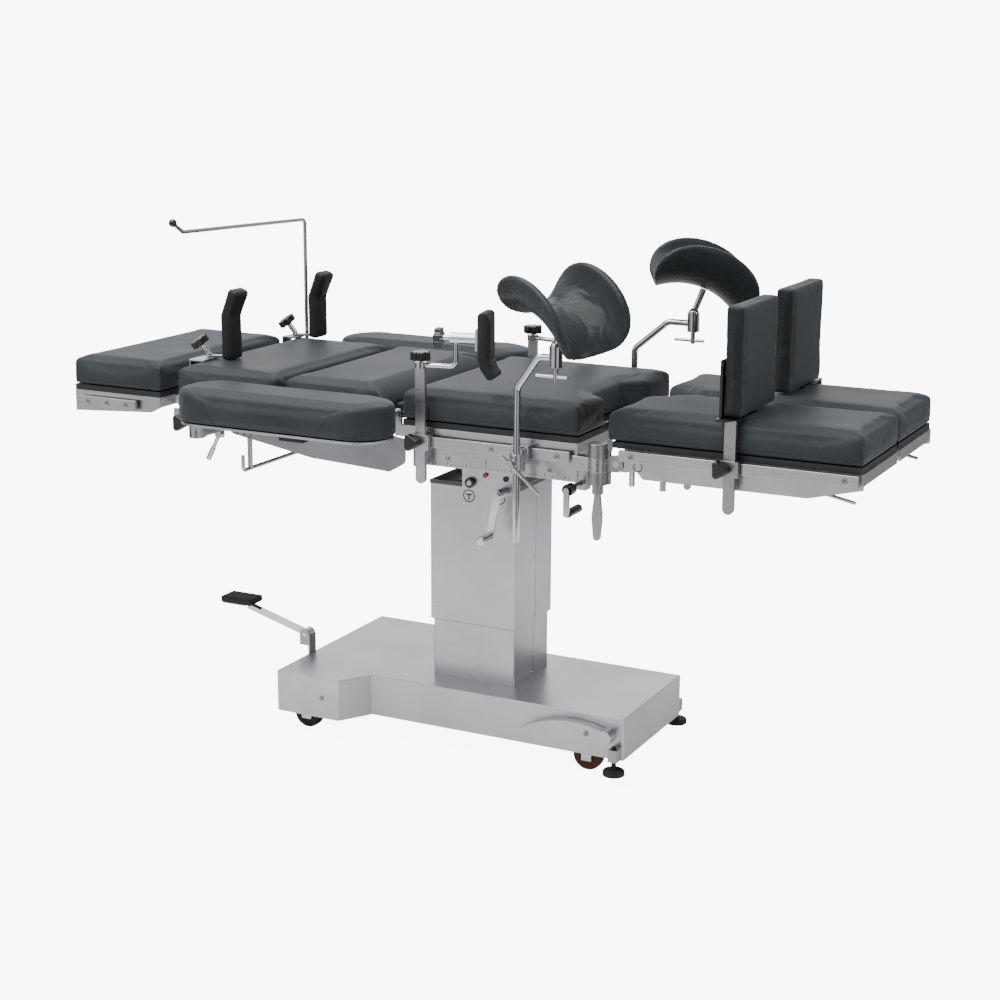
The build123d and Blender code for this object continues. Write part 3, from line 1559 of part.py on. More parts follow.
# Lock of the head section: a lug below the near rail with a three-lobed screw
head_lock_x = chest_head_x + lock_knob_radius
head_lock_z = rail_top_z - rail_high - knob_neck_radius - edge_break
back_rails[0] += block(
    head_lock_x - knob_neck_radius, head_lock_x + knob_neck_radius, -rail_out + edge_break, -rail_in,
    head_lock_z - knob_neck_radius, rail_top_z - rail_high + edge_break,
)
back_rails[0] += rod(
    (head_lock_x, -rail_in, head_lock_z), (head_lock_x, -rail_out - overrun, head_lock_z),
    knob_neck_radius,
)
back_rails[0] += shield_knob(
    facing((head_lock_x, -rail_out - overrun, head_lock_z), (0, -1, 0), (1, 0, 0)),
    lock_knob_radius, lock_knob_thick,
)
node("back_frame", back, board(board_plan))
node("back_side_rails", *back_rails, near_arm_clamp, far_arm_clamp, screen_clamp)
cover_points = [
    (cover_head_high_x, cover_top_z), (cover_head_high_x, cover_head_high_z),
    (cover_head_low_x, cover_head_low_z),
    (cover_belly_x, cover_belly_z), (cover_foot_low_x, cover_foot_low_z),
    (cover_foot_x, cover_foot_low_z + rail_high), (cover_foot_x, cover_foot_top_z),
    (cover_slope_x, cover_top_z),
]


def side_cover(side):
    """Shallow plate that hides the back section's lifting gear."""
    sheet = plate_xz(cover_points, side * (side_plate_y - cover_sheet), side * side_plate_y)
    low = sheet.edges().filter_by(Axis.Y).sort_by(Axis.X)[-2:].sort_by(Axis.Z)[0]
    foot = sheet.edges().filter_by(Axis.Y).sort_by(Axis.Z)[0]
    sheet = fillet([low, foot] if low != foot else [foot], cover_round)
    return sheet


node("back_side_covers", *both(side_cover))


def waterfall(head_x, foot_x, round_radius):
    """A back cushion whose foot end rolls over in a large radius."""
    body = cushion(rectangle(head_x, foot_x, -cushion_half, cushion_half), cushion_low_z, cushion_top_z)
    tool = block(
        foot_x - round_radius, foot_x + overrun, -cushion_half * 2, cushion_half * 2,
        cushion_top_z - round_radius, cushion_top_z + overrun,
    )
    tool -= rod(
        (foot_x - round_radius, -cushion_half * 2, cushion_top_z - round_radius),
        (foot_x - round_radius, cushion_half * 2, cushion_top_z - round_radius),
        round_radius,
    )
    return body - tool


node("loin_cushion", waterfall(loin_head_x, loin_foot_x, loin_round))
node(
    "chest_cushion",
    cushion(rectangle(chest_head_x, chest_foot_x, -cushion_half, cushion_half), cushion_low_z, cushion_top_z),
)

# Release lever of the back section
lever_end = (lever_x - lever_reach_x, lever_z - lever_reach_z)
lever = rod(
    (lever_x, lever_y - lever_eye_thick / 2, lever_z),
    (lever_x, lever_y + lever_eye_thick / 2, lever_z), lever_eye_radius,
)
lever += rod((lever_x, lever_y, lever_z), (lever_end[0], lever_y, lever_end[1]), lever_radius)
grip_start = (lever_x - lever_reach_x * lever_grip_share, lever_z - lever_reach_z * lever_grip_share)
lever += rod(
    (grip_start[0], lever_y, grip_start[1]), (lever_end[0], lever_y, lever_end[1]),
    lever_grip_radius,
)
lever -= rod(
    (lever_x, lever_y - lever_eye_thick, lever_z), (lever_x, lever_y + lever_eye_thick, lever_z),
    lever_radius + running_gap,
)
node("back_lever", lever)

# Head section: side plates, cross bars, board, hinge knuckles and short rails
head_frame = block(
    head_plate_foot_x - cross_bar_wide, head_plate_foot_x, -plate_in, plate_in, member_low_z,
    frame_top_z,
)
head_frame += block(
    head_plate_head_x, head_plate_head_x + cross_bar_wide, -plate_in, plate_in, member_low_z,
    frame_top_z,
)
for side in (-1, 1):
    head_frame += plate_xz(
        [
            (head_plate_head_x, frame_top_z), (head_plate_head_x, head_plate_low_z),
            (head_plate_foot_x - head_plate_cut_x, head_plate_low_z + head_plate_cut_z / 2),
            (head_plate_foot_x, head_plate_low_z + head_plate_cut_z), (head_plate_foot_x, frame_top_z),
        ],
        side * plate_in, side * side_plate_y,
    )
    knuckle_y = side * head_hinge_y
    low_y = knuckle_y - head_hinge_lug_half + seat_gap
    high_y = knuckle_y + head_hinge_lug_half - seat_gap
    head_frame += rod(
        (head_hinge_x, low_y, head_hinge_z), (head_hinge_x, high_y, head_hinge_z),
        head_hinge_lug_radius,
    )
    head_frame += block(
        head_plate_foot_x - edge_break, head_hinge_x, low_y, high_y, member_low_z + board_inset,
        frame_top_z,
    )
    head_frame += rod(
        (head_hinge_x, knuckle_y - head_hinge_lug_half * 3 + seat_gap, head_hinge_z),
        (head_hinge_x, knuckle_y + head_hinge_lug_half * 3 - seat_gap, head_hinge_z),
        head_hinge_pin_radius,
    )
head_board = board(
    rectangle(
        head_head_x + board_inset, head_foot_x - board_inset,
        board_inset - cushion_half, cushion_half - board_inset,
    ),
)
head_rails = both(lambda side: side_rail(side, head_rail_head_x, head_rail_foot_x, head_rail_top_z))
node("head_frame", head_frame, head_board, *head_rails)
node(
    "head_cushion",
    cushion(rectangle(head_head_x, head_foot_x, -cushion_half, cushion_half), cushion_low_z, cushion_top_z),
)

# Leg sections: swinging knuckle, folding frame with board and rail, and cushion
for name, side in (("near", -1), ("far", 1)):
    pivot_y = side * leg_swing_y
    tongue_out = side * (leg_swing_y - fold_tongue_inset)
    tongue_in = tongue_out - side * fold_tongue_thick
    knuckle = rod(
        (leg_swing_x, pivot_y, barrel_lug_top_z + seat_gap), (leg_swing_x, pivot_y, barrel_top_z),
        barrel_radius,
    )
    knuckle = fillet(knuckle.edges().filter_by(GeomType.CIRCLE).sort_by(Axis.Z)[-1], edge_break * 3)
    knuckle += rod(
        (leg_swing_x, pivot_y, barrel_low_z), (leg_swing_x, pivot_y, barrel_lug_low_z - seat_gap),
        barrel_radius,
    )
    knuckle += rod(
        (leg_swing_x, pivot_y, barrel_low_z), (leg_swing_x, pivot_y, barrel_top_z - edge_break),
        barrel_pin_radius,
    )
    web_x = leg_swing_x + barrel_radius + seat_gap
    knuckle += block(
        leg_swing_x, web_x + overrun, tongue_in, tongue_out, barrel_lug_top_z + seat_gap,
        barrel_top_z - board_thick,
    )
    knuckle += block(
        leg_swing_x, web_x + overrun, tongue_in, tongue_out, barrel_low_z + edge_break,
        barrel_lug_low_z - seat_gap,
    )
    knuckle += block(
        web_x, fold_x, tongue_in, tongue_out, fold_z - fold_tongue_radius,
        fold_z + fold_tongue_radius,
    )
    knuckle += block(
        web_x, web_x + overrun, tongue_in, tongue_out, barrel_low_z + edge_break,
        barrel_top_z - board_thick,
    )
    knuckle += rod((fold_x, tongue_in, fold_z), (fold_x, tongue_out, fold_z), fold_tongue_radius)
    knuckle -= rod(
        (fold_x, tongue_in - side * overrun, fold_z), (fold_x, tongue_out + side * overrun, fold_z),
        fold_pin_radius + running_gap,
    )
    neck_z = barrel_low_z - barrel_radius
    knuckle += rod((leg_swing_x, pivot_y, neck_z), (leg_swing_x, pivot_y, barrel_low_z), neck_radius)
    paddle_mid = (neck_z + paddle_low_z) / 2
    tip_z = paddle_low_z + paddle_tip
    blade_in = pivot_y - paddle_thick / 2
    blade_out = pivot_y + paddle_thick / 2
    knuckle += plate_xz(
        [
            (leg_swing_x - paddle_neck, neck_z + edge_break),
            (leg_swing_x - paddle_half, paddle_mid), (leg_swing_x - paddle_tip, tip_z),
            (leg_swing_x + paddle_tip, tip_z), (leg_swing_x + paddle_half, paddle_mid),
            (leg_swing_x + paddle_neck, neck_z + edge_break),
        ],
        blade_in, blade_out,
    )
    knuckle += rod((leg_swing_x, blade_in, tip_z), (leg_swing_x, blade_out, tip_z), paddle_tip)
    node(name + "_leg_knuckle", knuckle)

    inner_y = side * leg_inner_y
    outer_y = side * side_plate_y
    cheek_y = tongue_in - side * seat_gap
    beam_x = fold_x + fold_tongue_radius + edge_break
    frame = plate_xz(
        [
            (beam_x, frame_top_z), (beam_x, leg_cut_start_z), (leg_cut_mid_x, leg_cut_mid_z),
            (leg_cut_end_x, leg_plate_low_z),
            (leg_foot_x - cross_bar_wide * 3, leg_plate_low_z + edge_break),
            (leg_foot_x, leg_plate_foot_z), (leg_foot_x, frame_top_z),
        ],
        side * (side_plate_y - leg_beam_thick), outer_y,
    )
    frame += block(beam_x, leg_foot_x, inner_y, inner_y + side * leg_beam_thick, member_low_z, frame_top_z)
    for bar_x in (beam_x, (beam_x + leg_foot_x) / 2, leg_foot_x - leg_beam_thick):
        bar_long = leg_beam_thick if bar_x > foot_post_x + foot_post_reach else cross_bar_wide / 2
        frame += block(bar_x, bar_x + bar_long, inner_y, outer_y, member_low_z - edge_break, frame_top_z)
    cheek_in = cheek_y - side * fold_tongue_thick
    frame += rod((fold_x, cheek_in, fold_z), (fold_x, cheek_y, fold_z), fold_tongue_radius)
    frame += block(
        fold_x, beam_x + overrun, cheek_in, cheek_y, fold_z - fold_tongue_radius,
        fold_z + fold_tongue_radius,
    )
    frame += rod((fold_x, cheek_in, fold_z), (fold_x, tongue_out + side * seat_gap, fold_z), fold_pin_radius)
    frame += rod(
        (peg_x, side * peg_y, peg_low_z), (peg_x, side * peg_y, leg_plate_low_z + edge_break * 2),
        peg_radius,
    )
    frame += rod(
        (release_start_x, side * release_y, release_start_z),
        (release_end_x, side * release_y, release_end_z), release_radius,
    )
    frame += block(
        release_start_x - cross_bar_wide / 4, release_start_x + cross_bar_wide / 4,
        side * (release_y - release_radius), outer_y,
        release_start_z - release_radius * 2, member_low_z + edge_break,
    )
    inner_edge = side * leg_split
    plan = [
        (leg_head_x, side * cushion_half), (leg_head_x, side * leg_chamfer_y),
        (leg_head_x + leg_chamfer_x, inner_edge),
        (leg_foot_x, inner_edge), (leg_foot_x, side * cushion_half),
    ]
    leg_plan = [
        (leg_head_x + leg_board_inset, side * (cushion_half - board_inset)),
        (leg_head_x + leg_board_inset, side * leg_chamfer_y),
        (leg_head_x + leg_chamfer_x, inner_edge + side * board_inset),
        (leg_foot_x - board_inset, inner_edge + side * board_inset),
        (leg_foot_x - board_inset, side * (cushion_half - board_inset)),
    ]
    if side > 0:
        plan = plan[::-1]
        leg_plan = leg_plan[::-1]
    leg_rail = side_rail(side, leg_rail_head_x, leg_rail_foot_x, leg_rail_top_z)
    node(name + "_leg_frame", frame, board(polygon(leg_plan)), leg_rail)
    node(name + "_leg_cushion", cushion(polygon(plan), cushion_low_z, cushion_top_z))

# Arm boards: padded board on a tray that swings on the clamp's pivot
for name, side, shift in (("near", -1, 0), ("far", 1, arm_far_shift)):
    head_x = arm_head_x + shift
    foot_x = arm_foot_x + shift
    mid_y = side * (arm_inner_y + arm_outer_y) / 2
    half = (arm_outer_y - arm_inner_y) / 2


    def arm_plan(inset):
        """Long plan with a small radius at the head end and a large one at the foot end."""
        corners = []
        for end_x, way, radius in ((head_x, 1, arm_head_round), (foot_x, -1, arm_foot_round)):
            for row in (-1, 1):
                spot = Pos(end_x + way * radius, mid_y + row * (half - radius))
                corners.append(spot * Circle(radius - inset))
        return make_hull(Sketch(children=corners).edges())


    pad = Pos(0, 0, arm_pad_low_z) * extrude(arm_plan(0), arm_pad_top_z - arm_pad_low_z)
    pad = fillet(pad.faces().sort_by(Axis.Z)[-1].edges(), arm_pad_round)
    pad = fillet(pad.faces().sort_by(Axis.Z)[0].edges(), arm_pad_round / 2)
    tray_top = arm_pad_low_z - seat_gap
    tray_low = tray_top - arm_tray_thick
    tray = Pos(0, 0, tray_low) * extrude(arm_plan(arm_tray_inset), arm_tray_thick)
    pivot_x = arm_pivot_x + shift
    tray += rod(
        (pivot_x, mid_y, tray_low - arm_boss_high), (pivot_x, mid_y, tray_low + edge_break),
        arm_boss_radius,
    )
    tray += rod(
        (pivot_x, mid_y, tray_low - arm_boss_high - arm_stub_long), (pivot_x, mid_y, tray_low),
        arm_stub_radius,
    )
    strap_x = arm_strap_x + shift
    tray += block(
        strap_x - arm_strap_half, strap_x + arm_strap_half,
        side * (arm_outer_y - arm_strap_half * 2), side * (arm_outer_y - arm_tray_inset),
        tray_low - arm_strap_high, tray_low,
    )
    node(name + "_arm_board", tray, pad)

# Shoulder supports: bar on the stud, upright pad that leans at the top, star knob
for name, side, stud_y in (("near", -1, shoulder_near_y), ("far", 1, shoulder_far_y)):
    shelf_z = cushion_top_z + shoulder_lift
    low_z = shelf_z + seat_gap
    top_z = low_z + shoulder_arm_thick
    stud_at = (shoulder_stud_x, side * stud_y)
    pad_x = shoulder_stud_x + shoulder_pad_dx
    pad_y = side * stud_y + (shoulder_pad_dy if side < 0 else shoulder_far_dy)
    path = Line((stud_at[0], stud_at[1], low_z), (pad_x, pad_y, low_z))
    length = path.length
    angle = path.tangent_angle_at(0)
    bar_place = Pos((stud_at[0] + pad_x) / 2, (stud_at[1] + pad_y) / 2, low_z) * Rot(0, 0, angle)
    bar_long = length + shoulder_arm_wide
    bar_plan = RectangleRounded(bar_long, shoulder_arm_wide, shoulder_cap_radius)
    bar = bar_place * extrude(bar_plan, shoulder_arm_thick)
    pocket = bar_place * extrude(
        RectangleRounded(
            bar_long + seat_gap * 2, shoulder_arm_wide + seat_gap * 2, shoulder_cap_radius + seat_gap,
        ),
        shoulder_arm_thick + seat_gap,
    )
    pocket += Pos(0, 0, -seat_gap) * pocket
    bar -= rod((*stud_at, low_z - overrun), (*stud_at, top_z + overrun), shoulder_stud_radius + running_gap)
    cap_z = top_z + shoulder_cap_high
    bar += rod((*stud_at, top_z - edge_break), (*stud_at, cap_z), shoulder_cap_radius) - rod(
        (*stud_at, low_z), (*stud_at, top_z + seat_gap), shoulder_stud_radius + running_gap
    )
    stem_foot = (stud_at[0], stud_at[1], cap_z - edge_break)
    stem_way = (-shoulder_knob_lean_x, -shoulder_knob_lean_y, shoulder_knob_stem)
    stem_tip = (
        stud_at[0] - shoulder_knob_lean_x, stud_at[1] - shoulder_knob_lean_y, cap_z + shoulder_knob_stem,
    )
    bar += rod(stem_foot, stem_tip, knob_neck_radius)
    bar += star_knob(facing(stem_tip, stem_way), shoulder_knob_radius, shoulder_knob_thick)
    pad_low = cushion_top_z + shoulder_pad_gap
    bend_z = pad_low + shoulder_pad_bend
    high_z = pad_low + shoulder_pad_high
    profile = plate_xz(
        [
            (pad_x - shoulder_pad_deep / 2, pad_low), (pad_x + shoulder_pad_deep / 2, pad_low),
            (pad_x + shoulder_pad_deep / 2, bend_z),
            (pad_x + shoulder_pad_deep / 2 + shoulder_pad_lean, high_z - shoulder_pad_round),
            (pad_x - shoulder_pad_deep / 2 + shoulder_pad_lean, high_z),
            (pad_x - shoulder_pad_deep / 2, bend_z),
        ],
        pad_y - shoulder_pad_wide / 2, pad_y + shoulder_pad_wide / 2,
    )
    profile = fillet(profile.edges(), shoulder_pad_round) - pocket
    node(name + "_shoulder_support", bar, profile)

# Screen rod: one bent chrome rod turning in its clamp, with a ball on the tip
screen = bent_rod(
    [
        (screen_x, screen_axis_y, screen_low_z), (screen_x, screen_axis_y, screen_top_z),
        (screen_x, screen_end_y, screen_end_z), (screen_x, screen_tip_y, screen_tip_z),
    ],
    screen_radius, screen_bend,
)
screen += Pos(screen_x, screen_tip_y, screen_tip_z) * Sphere(screen_ball)
node("screen_rod", screen)

# Lateral supports: post in a rail clamp, cranked arm with hub, plate, knob and pad
post_in = rail_out + clamp_play
for name, side, drop in (("near", -1, 0), ("far", 1, support_far_drop)):
    post_y = side * (post_in + support_post_thick / 2)
    top_z = support_post_top_z - drop
    post = block(
        support_x - support_post_half, support_x + support_post_half, side * post_in,
        side * (post_in + support_post_thick), support_post_low_z, top_z,
    )
    post += rod(
        (support_x, side * post_in, support_post_low_z),
        (support_x, side * (post_in + support_post_thick), support_post_low_z), support_post_half,
    )
    clamp = rail_clamp(support_x, side, rail_top_z, clamp_lip)
    post += clamp
    knob_x = support_x - clamp_half + knob_neck_radius
    post += clamp_knob(knob_x, side, rail_top_z - rail_high / 2, rail_out + clamp_out - edge_break)
    eye_low = top_z + seat_gap
    eye_top = eye_low + support_eye_thick
    post += rod(
        (support_x, post_y, top_z - edge_break), (support_x, post_y, eye_top + support_knob_stem),
        support_stud_radius,
    )
    post += star_knob(
        Location((support_x, post_y, eye_top + support_knob_stem)), support_knob_radius,
        support_knob_thick,
    )
    node(name + "_support_post", post)

    arm_z = eye_low + support_eye_thick / 2
    tip_x = support_x + support_arm_reach
    tip_z = arm_z + support_arm_rise
    eye = rod((support_x, post_y, eye_low), (support_x, post_y, eye_top), support_eye_radius)
    arm = eye + bent_rod(
        [(support_x + support_arm_root, post_y, arm_z), (tip_x, post_y, arm_z), (tip_x, post_y, tip_z)],
        support_arm_radius, support_arm_bend,
    )
    arm -= rod(
        (support_x, post_y, eye_low - overrun), (support_x, post_y, eye_top + overrun),
        support_stud_radius + running_gap,
    )
    arm += rod(
        (tip_x - support_hub_radius, post_y, tip_z), (tip_x + support_hub_long, post_y, tip_z),
        support_hub_radius,
    )
    knob_at = tip_x - support_hub_radius - support_knob_gap
    arm += rod(
        (tip_x - support_hub_radius + edge_break, post_y, tip_z), (knob_at, post_y, tip_z),
        knob_neck_radius,
    )
    arm += star_knob(
        facing((knob_at, post_y, tip_z), (-1, 0, 0)), support_knob_radius, support_side_knob_thick,
    )
    plate_x = tip_x + support_hub_long
    arm += block(
        plate_x - edge_break, plate_x + support_plate_thick, post_y - support_plate_half,
        post_y + support_plate_half, tip_z - support_plate_half, tip_z + support_plate_half,
    )
    pad_x = plate_x + support_plate_thick + seat_gap
    pad_top = tip_z + support_pad_up
    pad_low = pad_top - support_pad_high
    curl_z = pad_low + support_pad_high * support_curl_share
    support_pad = plate_xz(
        [
            (pad_x, pad_top), (pad_x, curl_z),
            (pad_x + support_pad_curl / 3, (curl_z + pad_low) / 2),
            (pad_x + support_pad_curl, pad_low),
            (pad_x + support_pad_curl + support_pad_thick, pad_low + support_pad_round),
            (pad_x + support_pad_curl / 3 + support_pad_thick, (curl_z + pad_low) / 2),
            (pad_x + support_pad_thick, curl_z), (pad_x + support_pad_thick, pad_top),
        ],
        post_y - support_pad_wide / 2, post_y + support_pad_wide / 2,
    )
    support_pad = fillet(support_pad.edges().filter_by(Axis.Y), support_pad_round)
    turn = Pos(support_x, post_y, 0) * Rot(0, 0, -side * support_arm_turn_deg) * Pos(-support_x, -post_y, 0)
    node(name + "_support_arm", turn * arm, turn * support_pad)


# Leg holders: bent rod with a ball joint and tee handle, and the padded trough
def trough_section(step):
    """One section of the trough: a band bent to a U with round lips, lower towards both ends."""
    turn = radians(saddle_span_deg / 2) * step
    round_off = (1 - abs(step) ** saddle_round_share) ** (1 / saddle_round_share)
    flap = radians(saddle_flap_deg) * (saddle_end_share + (1 - saddle_end_share) * round_off)
    wall = saddle_wall * (saddle_thin_share + (1 - saddle_thin_share) * round_off)


    def spot(angle, radius):
        """A point of the section at an angle from its lowest line."""
        rise = saddle_arch + saddle_bend - radius * cos(angle)
        return (rise * sin(turn), radius * sin(angle), rise * cos(turn) - saddle_arch)


    outer = saddle_bend + saddle_wall
    inner = outer - wall
    middle = (outer + inner) / 2
    lip = wall / (outer + inner)
    return Wire(
        [
            Edge.make_three_point_arc(spot(-flap, inner), spot(0, inner), spot(flap, inner)),
            Edge.make_three_point_arc(spot(flap, inner), spot(flap + lip, middle), spot(flap, outer)),
            Edge.make_three_point_arc(spot(flap, outer), spot(0, outer), spot(-flap, outer)),
            Edge.make_three_point_arc(spot(-flap, outer), spot(-flap - lip, middle), spot(-flap, inner)),
        ]
    )


trough = Solid.make_loft([trough_section(step) for step in saddle_step_shares])
for name, side, base_x, end_reach in (("near", -1, holder_x, 0), ("far", 1, holder_far_x, holder_far_reach)):
    shift = saddle_near_shift if side < 0 else saddle_far_shift
    lean_deg = saddle_near_lean_deg if side < 0 else 0
    axis_y = side * holder_axis_y
    end_x = base_x + holder_end_x + end_reach
    rise_reach = holder_far_rise_reach if side > 0 else 0
    rod_points = [
        (base_x, axis_y, holder_rod_low_z),
        (base_x, axis_y, holder_knee_z + (holder_bend_z - holder_knee_z) / 2),
        (base_x + holder_top_x + rise_reach, axis_y, holder_top_z), (end_x, axis_y, holder_top_z),
    ]
    holder = bent_rod(rod_points, holder_rod_radius, holder_bend)
    ball_z = holder_top_z + holder_hub_high
    hub_low_z = holder_top_z - holder_hub_low
    holder += rod((end_x, axis_y, hub_low_z), (end_x, axis_y, ball_z), holder_hub_radius)
    socket = Pos(end_x, axis_y, ball_z) * Sphere(holder_ball_radius + holder_socket_gap)
    holder -= socket
    tee_z = hub_low_z - holder_tee_drop / 2
    holder += rod(
        (end_x, axis_y, hub_low_z + edge_break), (end_x, axis_y, tee_z - holder_tee_radius * 2),
        holder_tee_stem_radius,
    )
    holder += rod(
        (end_x - holder_tee_half, axis_y, tee_z), (end_x + holder_tee_short, axis_y, tee_z),
        holder_tee_radius,
    )
    node(name + "_holder_rod", holder)

    turn = Rot(0, 0, side * saddle_out_deg) * Rot(0, saddle_dip_deg, 0)
    pad = Rot(lean_deg, 0, 0) * Pos(shift, 0, holder_stalk_long + saddle_wall) * trough
    stalk = Sphere(holder_ball_radius) + Solid.make_cylinder(
        holder_stalk_radius, holder_stalk_long - seat_gap,
    )
    node(name + "_holder_pad", *[Pos(end_x, axis_y, ball_z) * turn * piece for piece in (pad, stalk)])

# Foot boards: padded plate on a flat post in a leg rail clamp
for name, side in (("near", -1), ("far", 1)):
    inner_y = side * foot_plate_inner_y
    outer_y = side * cushion_half
    plate = block(
        foot_plate_x, foot_plate_x + foot_plate_thick, inner_y, outer_y, foot_plate_low_z,
        foot_plate_top_z,
    )
    plate = fillet(plate.edges(), foot_plate_round)
    clamp_x = foot_post_x
    shelf_top = foot_plate_low_z - seat_gap
    shelf_low = shelf_top - foot_shelf_thick
    post_out = post_in + foot_post_thick
    post = block(
        clamp_x - foot_post_half, clamp_x + foot_post_half, side * post_in, side * post_out,
        foot_post_low_z, shelf_top,
    )
    post += rod(
        (clamp_x, side * post_in, foot_post_low_z), (clamp_x, side * post_out, foot_post_low_z),
        foot_post_half,
    )
    behind_x = foot_plate_x - seat_gap
    shelf_end = side * (cushion_half - foot_post_reach)
    post += block(
        behind_x - foot_shelf_thick, clamp_x + foot_post_half, shelf_end, side * post_out,
        shelf_low, shelf_top,
    )
    post += block(
        behind_x - foot_shelf_thick, behind_x, shelf_end, side * cushion_half, shelf_low,
        foot_behind_top_z,
    )
    post += rail_clamp(clamp_x, side, leg_rail_top_z, clamp_lip)
    post += clamp_knob(
        clamp_x - clamp_half + knob_neck_radius, side, leg_rail_top_z - rail_high / 2,
        rail_out + clamp_out - edge_break,
    )
    node(name + "_foot_board", post, plate)

os.makedirs("parts", exist_ok=True)
for name, shape in parts.items():
    export_step(shape, "parts/" + name + ".step")
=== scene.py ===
import math

import bmesh
import bpy
from mathutils import Matrix, Vector


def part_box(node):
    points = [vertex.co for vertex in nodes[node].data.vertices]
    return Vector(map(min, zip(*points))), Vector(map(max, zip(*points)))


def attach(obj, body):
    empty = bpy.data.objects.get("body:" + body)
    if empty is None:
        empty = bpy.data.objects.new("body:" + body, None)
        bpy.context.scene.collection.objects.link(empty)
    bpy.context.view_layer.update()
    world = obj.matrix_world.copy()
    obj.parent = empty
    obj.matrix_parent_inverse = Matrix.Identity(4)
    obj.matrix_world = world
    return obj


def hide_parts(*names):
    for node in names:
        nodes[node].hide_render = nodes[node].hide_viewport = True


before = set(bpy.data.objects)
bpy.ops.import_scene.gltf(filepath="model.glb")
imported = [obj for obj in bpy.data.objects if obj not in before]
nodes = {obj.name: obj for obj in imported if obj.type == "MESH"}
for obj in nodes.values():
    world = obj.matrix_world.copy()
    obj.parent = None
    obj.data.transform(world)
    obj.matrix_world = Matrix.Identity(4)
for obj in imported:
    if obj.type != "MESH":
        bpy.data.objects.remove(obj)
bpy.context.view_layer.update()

# The studio: the camera stands where the photograph was taken from, to the near
# side of the foot end, and three soft lamps hang above, to the left and right.
azimuth = math.radians(26.854)
elevation = math.radians(13.828)
roll = math.radians(0.3085)
camera_spot = (2.0832, -4.0699, 1.7212)
focal_pixels = 1916.014
picture_pixels = 1000
sensor_mm = 36
ground_share = math.cos(elevation)
forward = Vector(
    (-math.sin(azimuth) * ground_share, math.cos(azimuth) * ground_share, -math.sin(elevation))
)
level = Vector((math.cos(azimuth), math.sin(azimuth), 0))
upward = level.cross(forward)
right = level * math.cos(roll) + upward * math.sin(roll)
above = upward * math.cos(roll) - level * math.sin(roll)
camera_data = bpy.data.cameras.new("camera")
camera_data.sensor_width = sensor_mm
camera_data.lens = focal_pixels / picture_pixels * sensor_mm
camera_data.clip_end = 60
camera = bpy.data.objects.new("camera", camera_data)
turned = Matrix((right, above, -forward)).transposed()
camera.matrix_world = Matrix.Translation(camera_spot) @ turned.to_4x4()
bpy.context.scene.collection.objects.link(camera)
bpy.context.scene.camera = camera


def soft_lamp(name, place, aim, size, power):
    """A rectangular area lamp that looks at a point."""
    data = bpy.data.lights.new(name, "AREA")
    data.shape = "RECTANGLE"
    data.size, data.size_y = size
    data.energy = power
    lamp = bpy.data.objects.new(name, data)
    lamp.location = place
    lamp.rotation_euler = (Vector(aim) - Vector(place)).to_track_quat("-Z", "Y").to_euler()
    bpy.context.scene.collection.objects.link(lamp)


soft_lamp("lamp_above", (-0.8, -0.9, 3.4), (0, 0, 0.6), (3.4, 2.6), 135)
soft_lamp("lamp_left", (-3.4, -2.6, 2.0), (0, 0, 0.8), (1.6, 2.4), 10)
soft_lamp("lamp_right", (4.0, 0.2, 1.7), (0.2, 0, 0.8), (1.4, 2.0), 46)

# The surroundings: the camera sees an even white. The light that reaches the
# table comes from walls that darken towards the floor, crossed all round by dark
# and light cards, which the chrome reflects as bands.
backdrop_strength = 9.0
walls_strength = 0.85
card_gap = (0.40, 0.40, 0.41, 1)
card_tones = (
    (0.03, 0.08), (0.08, 0.12), (0.11, 1.05), (0.24, 1.10), (0.27, 0.10), (0.33, 0.10),
    (0.37, 1.0), (0.43, 1.0), (0.46, 0.06), (0.53, 0.08), (0.58, 0.50), (0.74, 0.50),
    (0.77, 1.7), (0.86, 1.7), (0.89, 0.15), (0.94, 1.5),
)
world = bpy.data.worlds.new("studio")
bpy.context.scene.world = world
world.use_nodes = True
links = world.node_tree.links
sky = world.node_tree.nodes
sky.clear()
where = sky.new("ShaderNodeTexCoord")
split = sky.new("ShaderNodeSeparateXYZ")
shift = sky.new("ShaderNodeMapRange")
shift.inputs["From Min"].default_value = -1
fade = sky.new("ShaderNodeValToRGB")
fade.color_ramp.elements[0].position = 0.30
fade.color_ramp.elements[0].color = (0.60, 0.605, 0.61, 1)
fade.color_ramp.elements[1].position = 0.62
fade.color_ramp.elements[1].color = (0.95, 0.96, 0.98, 1)
around = sky.new("ShaderNodeTexGradient")
around.gradient_type = "RADIAL"
cards = sky.new("ShaderNodeValToRGB")
cards.color_ramp.interpolation = "EASE"
for place, tone in card_tones:
    stop = cards.color_ramp.elements.new(place)
    stop.color = (tone, tone, tone * 1.015, 1)
for end in (0, -1):
    cards.color_ramp.elements[end].color = card_gap
blend = sky.new("ShaderNodeMix")
blend.data_type = "RGBA"
blend.blend_type = "MULTIPLY"
blend.inputs["Factor"].default_value = 1.0
lit = sky.new("ShaderNodeBackground")
lit.inputs["Strength"].default_value = walls_strength
seen = sky.new("ShaderNodeBackground")
seen.inputs["Color"].default_value = (1, 1, 1, 1)
seen.inputs["Strength"].default_value = backdrop_strength
ray = sky.new("ShaderNodeLightPath")
choose = sky.new("ShaderNodeMixShader")
out = sky.new("ShaderNodeOutputWorld")
links.new(where.outputs["Generated"], split.inputs[0])
links.new(split.outputs["Z"], shift.inputs["Value"])
links.new(shift.outputs["Result"], fade.inputs["Fac"])
links.new(where.outputs["Generated"], around.inputs["Vector"])
links.new(around.outputs["Fac"], cards.inputs["Fac"])
links.new(fade.outputs["Color"], blend.inputs["A"])
links.new(cards.outputs["Color"], blend.inputs["B"])
links.new(blend.outputs["Result"], lit.inputs["Color"])
